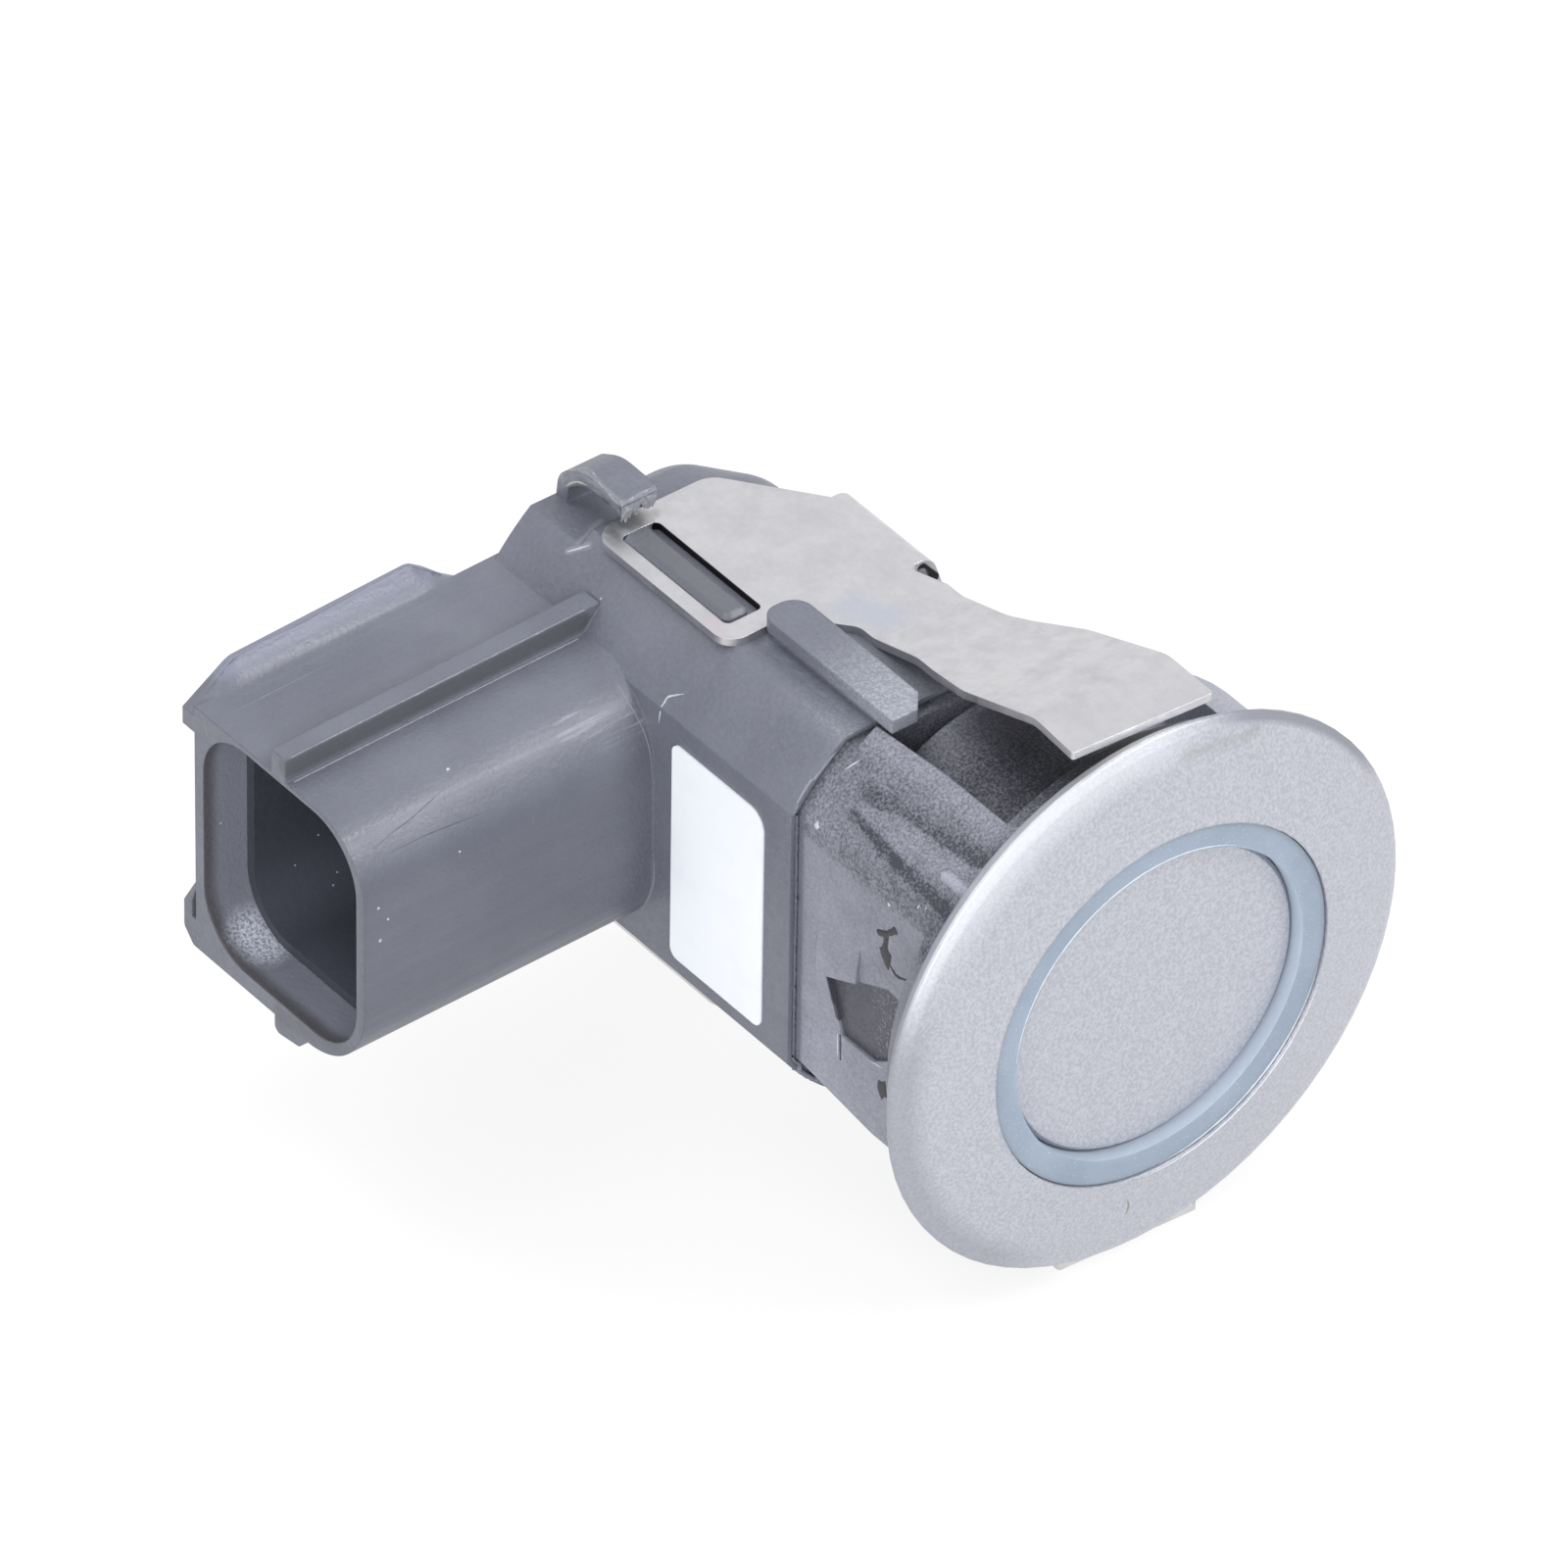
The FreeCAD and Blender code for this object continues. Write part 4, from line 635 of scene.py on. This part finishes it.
stripLook = {
    "step": 0.15,  # from one row of points to the next
    "ragged": 0.25,  # share by which its width and rise vary
    "blunt": 0.02, "taper": 0.5,  # share of its length cut off a pointed end, and how it swells
    # Its section, across and up, as shares; the edges lie a little under the skin, in mm
    "section": ((-1, -0.02), (-0.6, 0.7), (0, 1), (0.6, 0.7), (1, -0.02)),
}


def layStrip(form, nodeName, path, widthMm, riseMm, seed, pointed=True):
    # A thin raised strip that follows the surface and, if pointed, runs out at both ends
    look = stripLook
    dice = random.Random(seed)
    run = smoothPath(path, look["step"])
    rows = []
    for i, place in enumerate(run):
        spot, outward = onSkin(nodeName, place)
        ahead = (run[min(i + 1, len(run) - 1)] - run[max(i - 1, 0)]).normalized()
        across = ahead.cross(outward).normalized()
        t = min(max(i / (len(run) - 1), look["blunt"]), 1 - look["blunt"])
        swell = math.sin(math.pi * t) ** look["taper"] if pointed else 1.0
        half = widthMm / 2 * swell * (1 + dice.uniform(-look["ragged"], look["ragged"]))
        high = riseMm * swell * (1 + dice.uniform(-look["ragged"], look["ragged"]))
        row = []
        for share, lift in look["section"]:
            near, way = onSkin(nodeName, spot + across * half * share)
            row.append(form.verts.new((near + way * (high * lift if lift > 0 else lift)) * mm))
        rows.append(row)
    joinRows(form, rows)


fleckLook = {
    "count": 11,  # points round it
    "reach": (0.65, 1.2),  # shares of its radius between which they lie
    # Its rings, out and up, as shares; the outer one lies a little under the skin, in mm
    "rings": ((1.0, -0.02), (0.62, 0.7), (0.25, 1.0)),
}


def layFleck(form, nodeName, place, radiusMm, riseMm, seed, long=1.0):
    # A small irregular mound, such as a speck of dust or a drop of paint
    look = fleckLook
    count = look["count"]
    dice = random.Random(seed)
    spot, outward = onSkin(nodeName, place)
    side = outward.orthogonal().normalized()
    other = outward.cross(side)
    turn = dice.uniform(0, math.pi)
    reach = [radiusMm * dice.uniform(*look["reach"]) for _ in range(count)]
    rings = []
    for share, lift in look["rings"]:
        ring = []
        for i in range(count):
            angle = 2 * math.pi * i / count
            u = reach[i] * share * math.cos(angle) * long
            v = reach[i] * share * math.sin(angle)
            way = (side * (u * math.cos(turn) - v * math.sin(turn))
                   + other * (u * math.sin(turn) + v * math.cos(turn)))
            near, out = onSkin(nodeName, spot + way)
            ring.append(form.verts.new((near + out * (riseMm * lift if lift > 0 else lift)) * mm))
        rings.append(ring)
    for one, two in zip(rings, rings[1:]):
        for i in range(count):
            form.faces.new((one[i], one[(i + 1) % count], two[(i + 1) % count], two[i]))
    form.faces.new(rings[-1])


def finishPiece(name, form, finish):
    # Makes the piece, kept within the solids' box, and lets it ride on the part
    mesh = bpy.data.meshes.new(name)
    low, high = cadBox
    for vert in form.verts:
        vert.co = [min(max(c, a), b) for c, a, b in zip(vert.co, low, high)]
    form.normal_update()
    form.to_mesh(mesh)
    form.free()
    mesh.polygons.foreach_set("use_smooth", [True] * len(mesh.polygons))
    mesh.materials.append(finish)
    piece = bpy.data.objects.new(name, mesh)
    bpy.context.scene.collection.objects.link(piece)
    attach(piece, "root")
    return piece


scoreLook = {  # name: node, width, rise, finish, slot and runs through places on the surface
    "shroudScores": ("housing", 0.05, 0.006, darkScore, "grey_plastic", [
        [(-20.98, -24.7, 5.6), (-21.2, -23.2, 5.85), (-21.3, -22.3, 5.97), (-21.7, -20.3, 6.3)],
        [(-20.69, -24.0, 5.25), (-20.7, -21.7, 5.26), (-20.6, -18.7, 5.08)]]),
    # painted highlight lines on the shroud
    "shroudShineLines": ("housing", 0.09, 0.01, burrAndShine, "grey_plastic", [
        [(-30.8, -25.3, 6.76), (-30.8, -22.3, 6.85), (-30.8, -19.3, 6.95)],
        [(-20.9, -13.5, 5.6), (-20.85, -11.6, 5.7), (-20.75, -10.4, 5.8)]]),
    # painted highlight along the shroud's root fillet
    "rootLines": ("housing", 0.07, 0.012, edgeHighlightAndCrack, "grey_plastic", [
        [(-22.6, -10.45, 6.98), (-21.6, -10.44, 6.4), (-20.5, -10.2, 4.7), (-20.3, -10.02, 2.5)],
        [(-20.26, -10.0, -1.4), (-20.3, -10.0, -3.2), (-21.2, -10.0, -5.5)]]),
    # painted highlight along the rib's edges
    "ribLines": ("housing", 0.13, 0.02, edgeHighlightAndCrack, "grey_plastic", [
        [(-25.66, -25.4, 7.98), (-25.66, -18.0, 8.2), (-25.62, -9.7, 8.44)],
        [(-25.5, -25.4, 6.85), (-25.5, -18.0, 7.0), (-25.45, -10.2, 7.28)],
        [(-26.64, -25.55, 7.9), (-26.64, -25.6, 7.4), (-26.7, -25.6, 6.9)]]),
    # painted highlight on the housing's rounded lip
    "lipLine": ("housing", 0.3, 0.02, edgeHighlightAndCrack, "grey_plastic", [
        [(-10.85, -10.05, 6.6), (-10.85, -9.4, 7.65), (-10.85, -8.4, 8.65), (-10.85, -7.3, 9.35),
         (-10.85, -6.2, 9.6)]]),
    "strapEdge": ("housing", 0.24, 0.04, whitened, "grey_plastic", [
        [(-27.33, -6.4, 11.6), (-27.28, -5.9, 11.6), (-27.36, -5.3, 11.65), (-27.36, -4.75, 11.66)]]),
    "strapTear": ("housing", 0.22, 0.05, whitened, "grey_plastic", [
        [(-31.6, -6.5, 10.1), (-31.3, -6.5, 10.7), (-30.8, -6.38, 11.2), (-30.35, -6.07, 11.44),
         (-29.65, -6.19, 11.69), (-28.8, -6.45, 11.73)],
        [(-28.9, -6.42, 11.73), (-28.2, -6.5, 11.68), (-27.66, -6.5, 11.56), (-27.35, -6.45, 11.58)]]),
    "archLine": ("housing", 0.14, 0.03, residue, "grey_plastic", [
        [(-31.2, -6.5, 10.1), (-30.8, -6.5, 10.55), (-30.3, -6.5, 10.95), (-29.6, -6.5, 11.2)]]),
    "stressLines": ("housing", 0.14, 0.015, paleDust, "grey_plastic", [
        [(-28.8, -8.26, 8.91), (-28.4, -7.95, 9.18), (-28.0, -7.6, 9.48)],
        [(-20.02, -10.0, 5.98), (-19.85, -9.7, 7.1), (-19.82, -9.64, 7.39), (-19.17, -9.3, 7.81)]]),
    "strapCrack": ("housing", 0.12, 0.015, edgeHighlightAndCrack, "grey_plastic", [
        [(-28.57, -7.75, 9.3), (-28.77, -7.22, 9.3), (-29.04, -6.59, 9.3), (-29.22, -6.03, 9.3)]]),
    # the first two are painted highlights on the edges of a notch and a step
    "neckWhiteLines": ("bezel_barrel", 0.1, 0.02, dropsAndGlints, "silver_paint", [
        [(-7.97, -9.55, -3.45), (-7.94, -9.55, -4.7)],
        [(-5.7, -9.55, -3.5), (-4.9, -9.55, -3.35)],
        [(-10.05, -7.72, 8.85), (-9.72, -7.16, 9.3)],
        [(-2.75, -9.55, 6.9), (-2.55, -9.55, 7.25)],
        [(-2.2, -9.5, 7.2), (-2.05, -9.45, 7.55)]]),
    # painted shade standing in for a notch in the neck
    "neckSlot": ("bezel_barrel", 0.17, 0.02, darkMarkAndShade, "silver_paint", [
        [(-7.78, -9.55, -3.4), (-7.74, -9.55, -4.8)]]),
    "curlBar": ("bezel_barrel", 0.4, 0.05, darkMarkAndShade, "silver_paint", [
        [(-5.35, -9.55, 3.88), (-4.75, -9.55, 4.2), (-4.1, -9.55, 4.82)],
        [(-4.78, -9.55, 4.3), (-4.83, -9.55, 3.2)]]),
    "curlBody": ("bezel_barrel", 0.82, 0.06, darkMarkAndShade, "silver_paint", [
        [(-4.86, -9.55, 3.65), (-4.78, -9.55, 3.0), (-4.62, -9.55, 2.3)]]),
    "curlTail": ("bezel_barrel", 0.2, 0.04, darkMarkAndShade, "silver_paint", [
        [(-4.66, -9.55, 2.85), (-4.36, -9.55, 2.55), (-3.94, -9.55, 2.36), (-3.0, -9.55, 2.72)]]),
    "ejectorMarks": ("housing", 0.12, 0.015, burrAndShine, "grey_plastic", [
        [(x + 1.1 * math.cos(a / 4), y + 1.1 * math.sin(a / 4), -20) for a in range(26)]
        for x, y in ((-29.5, -13.0), (-24.0, -13.0), (-29.5, -21.5), (-24.0, -21.5))]),
    # sealant laid in the joint's groove, lightened to lift its shade
    "lipBead": ("housing", 0.56, 0.16, lightenedBead, "sealing_compound", [
        [(-10.8, -9.72, 6.9), (-10.8, -9.72, 3.0), (-10.8, -9.72, -3.0), (-10.8, -9.72, -6.7)]]),
    "cornerBead": ("housing", 0.7, 0.25, lightenedBead, "sealing_compound", [
        [(-10.8, -9.7, -6.5), (-10.8, -9.25, -7.5), (-10.8, -8.7, -8.1), (-10.8, -8.1, -8.6)]]),
    "ringEdgeShine": ("decoupling_ring", 0.16, 0.01, ringShine, "silicone_rubber", [
        [(2.05, 7.87 * math.cos(a / 40), 7.87 * math.sin(a / 40)) for a in range(42, 124, 4)]]),
    "ringSeatShine": ("decoupling_ring", 0.14, 0.05, ringShine, "silicone_rubber", [
        [(2.05, 8.99 * math.cos(a / 40), 8.99 * math.sin(a / 40)) for a in range(-62, -8, 4)]]),
    "bezelEdgeShine": ("bezel_barrel", 0.16, 0.01, bareShine, "silver_paint", [
        [(2.15, 9.2 * math.cos(a / 40), 9.2 * math.sin(a / 40)) for a in range(-66, -12, 4)]]),
    "rimCut": ("bezel_barrel", 0.16, 0.01, paintNick, "silver_paint", [
        [(1.9, -1.45, -10.2), (1.8, -1.25, -10.8), (1.7, -1.3, -11.4)]]),
}
bluntPieces = ("curlBar", "lipBead", "neckSlot", "ribLines", "ejectorMarks")  # full width to their ends
for name, (nodeName, width, rise, finish, slotName, runs) in scoreLook.items():
    form = bmesh.new()
    for k, path in enumerate(runs):
        layStrip(form, nodeName, path, width, rise, 31 * k + len(name), pointed=name not in bluntPieces)
    finishPiece(name, form, finish)
print("scores laid:", len(scoreLook))

ridgeLook = {
    "crestX": -32.8, "endX": -31.3,
    "startY": -25.66, "endY": -10.45,
    "frontY": -25.5, "frontFade": 0.9,  # where it starts, and how long it takes to its full height
    "rearY": -10.5, "rearFade": 0.4,
    "fallY": -13.9, "fallZ": 8.25, "fall": 0.675,  # its straight run-out at the rear
    "run": 0.95,  # width of the slope from crest to crease
    "soft": 0.03,  # how rounded the crease is
    "over": 0.004, "under": 0.02,  # it lies this far over the moulding, its edges under it
    "skyZ": 9.5,  # above the ridge, from where the moulding is felt for
    "besideZ": 6.0,  # taken where there is none below
    "crestIn": 0.08, "flatOut": 0.2,  # how far past the slope the crest and the flat are felt for
    "lead": 0.05, "hem": 0.01,  # it starts so far before the crest, with an edge so wide
    "step": 0.12, "columns": 24,
}


def ridgeSlope():
    # The latch ridge's inner side: one soft slope with a rounded crease, laid over the moulding
    look = ridgeLook
    form = bmesh.new()

    def heightAt(x, y):
        # The moulding's own height there
        spot = skinOf("housing").ray_cast(Vector((x, y, look["skyZ"])) * mm, Vector((0, 0, -1)))[0]
        return spot.z / mm if spot else look["besideZ"]

    left = look["crestX"] - look["lead"]
    columns = [left - look["hem"]] + [
        left + (look["endX"] - left) * i / look["columns"] for i in range(look["columns"] + 1)]
    count = int((look["endY"] - look["startY"]) / look["step"])
    rows = []
    for j in range(count + 1):
        y = look["startY"] + (look["endY"] - look["startY"]) * j / count
        crest = heightAt(look["crestX"] - look["crestIn"], y)
        if y > look["fallY"]:
            crest = max(crest, look["fallZ"] - look["fall"] * (y - look["fallY"]))
        flat = heightAt(look["endX"] + look["flatOut"], y)
        front = min(max((y - look["frontY"]) / look["frontFade"], 0), 1)
        rear = min(max((look["rearY"] - y) / look["rearFade"], 0), 1)
        row = []
        for i, x in enumerate(columns):
            ahead = 1 - (x - look["crestX"]) / look["run"]
            share = min(0.5 * (ahead + math.sqrt(ahead ** 2 + look["soft"])), 1.0)
            low = heightAt(x, y)
            slope = flat + (crest - flat) * share
            z = low + max(slope - low, 0) * front * rear + look["over"]
            if i in (0, len(columns) - 1) or j in (0, count):
                z = low - look["under"]
            row.append(form.verts.new(Vector((x, y, z)) * mm))
        rows.append(row)
    joinRows(form, rows)
    form.normal_update()
    if sum(face.normal.z for face in form.faces) < 0:
        bmesh.ops.reverse_faces(form, faces=form.faces)
    finishPiece("latchRidgeSlope", form, finishes["housing"])


ridgeSlope()
print("ridge slope laid")

tornLook = {
    "startY": -6.46, "endY": -4.55,  # across the strap's broken end
    "x": -27.36, "topZ": 11.5,
    "longest": 1.12, "shortest": 0.35,  # how far the strands hang down, just clear of the clip
    "mean": 0.45,  # where most hang between the two
    "longY": -5.9, "more": 0.45,  # nearer than this they hang longer, by this share
    "waves": ((3.1, (4.2, 0), 0.9), (7.9, (1.3, 5), 0.6)),  # per mm, where in the noise, how much
    "thick": 0.2, "thinning": 0.75,
    "pinch": 0.35, "pinchRun": 6,  # its thickness at its sides, gained over one part in so many
    "lumps": 0.9, "lumpsPerMm": 4,
    "belly": 0.22, "sway": 0.08,  # how far each strand bows out and strays
    "swayAcross": 5, "swayDown": 2,  # per mm
    "columns": 30, "rows": 7,
}


def tornEnd():
    # Where the strap broke off, its plastic pulled out into a ragged, whitened fringe
    look = tornLook
    form = bmesh.new()
    sheets = []
    for side in (1, -1):
        sheet = []
        for i in range(look["columns"] + 1):
            y = look["startY"] + (look["endY"] - look["startY"]) * i / look["columns"]
            share = look["mean"] + (look["more"] if y < look["longY"] else 0)
            for often, spot, much in look["waves"]:
                share += noise.noise(Vector((y * often, *spot))) * much
            hang = look["shortest"] + (look["longest"] - look["shortest"]) * min(max(share, 0), 1)
            inward = min(1, look["pinchRun"] * min(i, look["columns"] - i) / look["columns"])
            pinch = look["pinch"] + (1 - look["pinch"]) * inward
            column = []
            for j in range(look["rows"] + 1):
                down = j / look["rows"]
                z = look["topZ"] - hang * down
                often = look["lumpsPerMm"]
                lump = 1 + look["lumps"] * noise.noise(Vector((y * often, z * often, side * 3)))
                half = look["thick"] * (1 - look["thinning"] * down ** 2) * lump * 0.5
                sway = look["sway"] * noise.noise(Vector((y * look["swayAcross"], z * look["swayDown"], 9)))
                lean = look["belly"] * down * (1 - down) + sway
                column.append(form.verts.new(Vector((look["x"] + lean + side * half * pinch, y, z)) * mm))
            sheet.append(column)
        sheets.append(sheet)
    front, back = sheets
    joinRows(form, front)
    joinRows(form, back, turned=True)

    def edgeOf(sheet):
        # Round the sheet: along its top, down its last strand, back along the tips and up the first
        return ([c[0] for c in sheet] + sheet[-1][1:] + [c[-1] for c in sheet[-2::-1]] + sheet[0][-2:0:-1])

    one, two = edgeOf(front), edgeOf(back)
    for i in range(len(one)):
        k = (i + 1) % len(one)
        form.faces.new((one[i], one[k], two[k], two[i]))
    bmesh.ops.recalc_face_normals(form, faces=form.faces)
    piece = finishPiece("tornStrapEnd", form, whitened)
    rounding = piece.modifiers.new("rounding", "SUBSURF")
    rounding.levels = rounding.render_levels = 1


tornEnd()
print("torn end built")

speckLook = {  # name: node, finish, slot and (place, radius, rise, length to width)
    "housingSpecks": ("housing", paleDust, "grey_plastic", [
        ((-22.32, -19.56, 6.66), 0.1, 0.03, 1.2), ((-20.08, -24.96, 3.14), 0.09, 0.03, 1.0),
        ((-20.09, -24.85, 1.3), 0.11, 0.03, 1.1), ((-20.09, -24.43, 2.28), 0.08, 0.03, 1.0),
        ((-20.21, -20.52, 3.98), 0.07, 0.03, 1.0), ((-25.79, -8.7, 8.47), 0.07, 0.02, 1.0),
        ((-31.55, -24.79, 0.21), 0.07, 0.02, 1.0), ((-20.72, -25.45, 4.2), 0.26, 0.05, 1.3)]),
    "carrierSpecks": ("contact_carrier", paleDust, "black_plastic", [
        ((-31.0, -19.96, -2.49), 0.07, 0.02, 1.0), ((-30.9, -21.3, -3.45), 0.06, 0.02, 1.0),
        ((-30.36, -19.44, -4.41), 0.07, 0.02, 1.0), ((-30.04, -19.89, -4.69), 0.06, 0.02, 1.0)]),
    # mounds in the joint's corner, lightened to lift their shade
    "jointFill": ("joint_seal", lightenedBead, "sealing_compound", [
        ((-11.3, -8.83, -7.77), 0.75, 0.48, 1.2), ((-11.3, -8.3, -8.3), 0.5, 0.45, 1.0)]),
    "gateStub": ("housing", burrAndShine, "grey_plastic", [((-32.0, 2.0, -2.0), 0.6, 0.15, 1.0)]),
    "neckDrops": ("bezel_barrel", dropsAndGlints, "silver_paint", [
        ((-9.66, -9.54, 6.87), 0.22, 0.04, 1.2), ((-4.64, -9.55, 5.88), 0.12, 0.03, 1.0)]),
    # painted shade of a small recess
    "neckOval": ("bezel_barrel", darkMarkAndShade, "silver_paint", [((-4.83, -9.55, -4.5), 0.5, 0.03, 1.3)]),
    "frontBurr": ("housing", burrAndShine, "grey_plastic", [
        ((-10.85, -8.51, -8.4), 0.35, 0.06, 1.6), ((-10.85, -8.1, -8.8), 0.22, 0.05, 1.4)]),
}
for name, (nodeName, finish, slotName, spots) in speckLook.items():
    form = bmesh.new()
    for k, (place, radius, rise, long) in enumerate(spots):
        layFleck(form, nodeName, place, radius, rise, 17 * k + len(name), long)
    finishPiece(name, form, finish)
print("specks laid:", len(speckLook))


stageLook = {
    "floorZ": -14.56, "radiusMm": 3000, "sides": 64,  # just under the part's lowest place
    "floor": "#EDEDEF", "roughness": 0.9,
    "glow": 1.05, "glowShare": 0.8,  # pale where it is seen, and still with the part's shadow
    "sky": "#FCFDFF", "skyLevel": 0.3,  # its light on the part; where it is seen it is 1
}


def seenRays(tree):
    # 1 for rays that show the ground: the camera's, mirrored ones and those that came through
    rays = addNode(tree, "ShaderNodeLightPath")
    return together(tree, [rays.outputs["Is Camera Ray"], rays.outputs["Is Glossy Ray"],
                           rays.outputs["Is Transmission Ray"]], "MAXIMUM")


def layFloor():
    # A plain pale floor, matte
    look = stageLook
    material, tree, shader = newMaterial("paleFloor", **{
        "Base Color": linear(look["floor"]), "Roughness": look["roughness"]})
    glow = addNode(tree, "ShaderNodeEmission", {"Color": (1, 1, 1, 1), "Strength": look["glow"]})
    both = addNode(tree, "ShaderNodeMixShader", {
        0: together(tree, [seenRays(tree), look["glowShare"]]), 1: shader.outputs["BSDF"],
        2: glow.outputs["Emission"]})
    tree.links.new(both.outputs["Shader"], tree.nodes["Material Output"].inputs["Surface"])
    mesh = bpy.data.meshes.new("floor")
    form = bmesh.new()
    bmesh.ops.create_circle(form, cap_ends=True, segments=look["sides"], radius=look["radiusMm"] * mm)
    form.to_mesh(mesh)
    form.free()
    mesh.materials.append(material)
    floor = bpy.data.objects.new("floor", mesh)
    floor.location.z = look["floorZ"] * mm
    bpy.context.scene.collection.objects.link(floor)


def lightSky():
    # An even, faintly cool sky, dimmer on the part than where it is seen
    look = stageLook
    world = bpy.data.worlds.new("studio")
    bpy.context.scene.world = world
    world.use_nodes = True
    tree = world.node_tree
    tree.nodes.clear()
    strength = addNode(tree, "ShaderNodeMapRange", {
        "Value": seenRays(tree), "To Min": look["skyLevel"], "To Max": 1.0})
    sky = addNode(tree, "ShaderNodeBackground", {
        "Color": linear(look["sky"]), "Strength": strength.outputs["Result"]})
    addNode(tree, "ShaderNodeOutputWorld", {"Surface": sky.outputs["Background"]})


layFloor()
lightSky()

lampLook = {  # name: place in metres, size, watts, whether metal mirrors it
    "topLamp": ((-0.45, -0.10, 0.88), 0.8, 6.0, False),
    "frontLamp": ((0.55, -0.70, 0.45), 0.8, 7.5, True),
    "backLamp": ((0.50, 0.50, 0.70), 0.5, 6.0, True),
}
for name, (place, wide, watts, mirrored) in lampLook.items():
    light = bpy.data.lights.new(name, "AREA")
    light.size = wide
    light.energy = watts
    lamp = bpy.data.objects.new(name, light)
    lamp.location = place
    lamp.rotation_mode = "QUATERNION"
    lamp.rotation_quaternion = Vector(place).to_track_quat("Z", "Y")
    lamp.visible_glossy = mirrored
    bpy.context.scene.collection.objects.link(lamp)

cameraLook = {
    "azimuth": 51.54, "elevation": 39.40, "roll": 0.878,
    "place": (0.511871, -0.425579, 0.557154),  # in metres
    "lens": 468.0, "film": 36.0,
    "near": 0.05, "far": 20.0,
}
view = bpy.data.cameras.new("camera")
view.lens = cameraLook["lens"]
view.sensor_width = cameraLook["film"]
view.clip_start = cameraLook["near"]
view.clip_end = cameraLook["far"]
camera = bpy.data.objects.new("camera", view)
camera.matrix_world = (Matrix.Translation(cameraLook["place"])
                       @ Matrix.Rotation(math.radians(cameraLook["azimuth"]), 4, "Z")
                       @ Matrix.Rotation(math.radians(90 - cameraLook["elevation"]), 4, "X")
                       @ Matrix.Rotation(math.radians(cameraLook["roll"]), 4, "Z"))
bpy.context.scene.collection.objects.link(camera)
bpy.context.scene.camera = camera
bpy.context.scene.view_settings.view_transform = "Standard"
print("stage and camera ready")
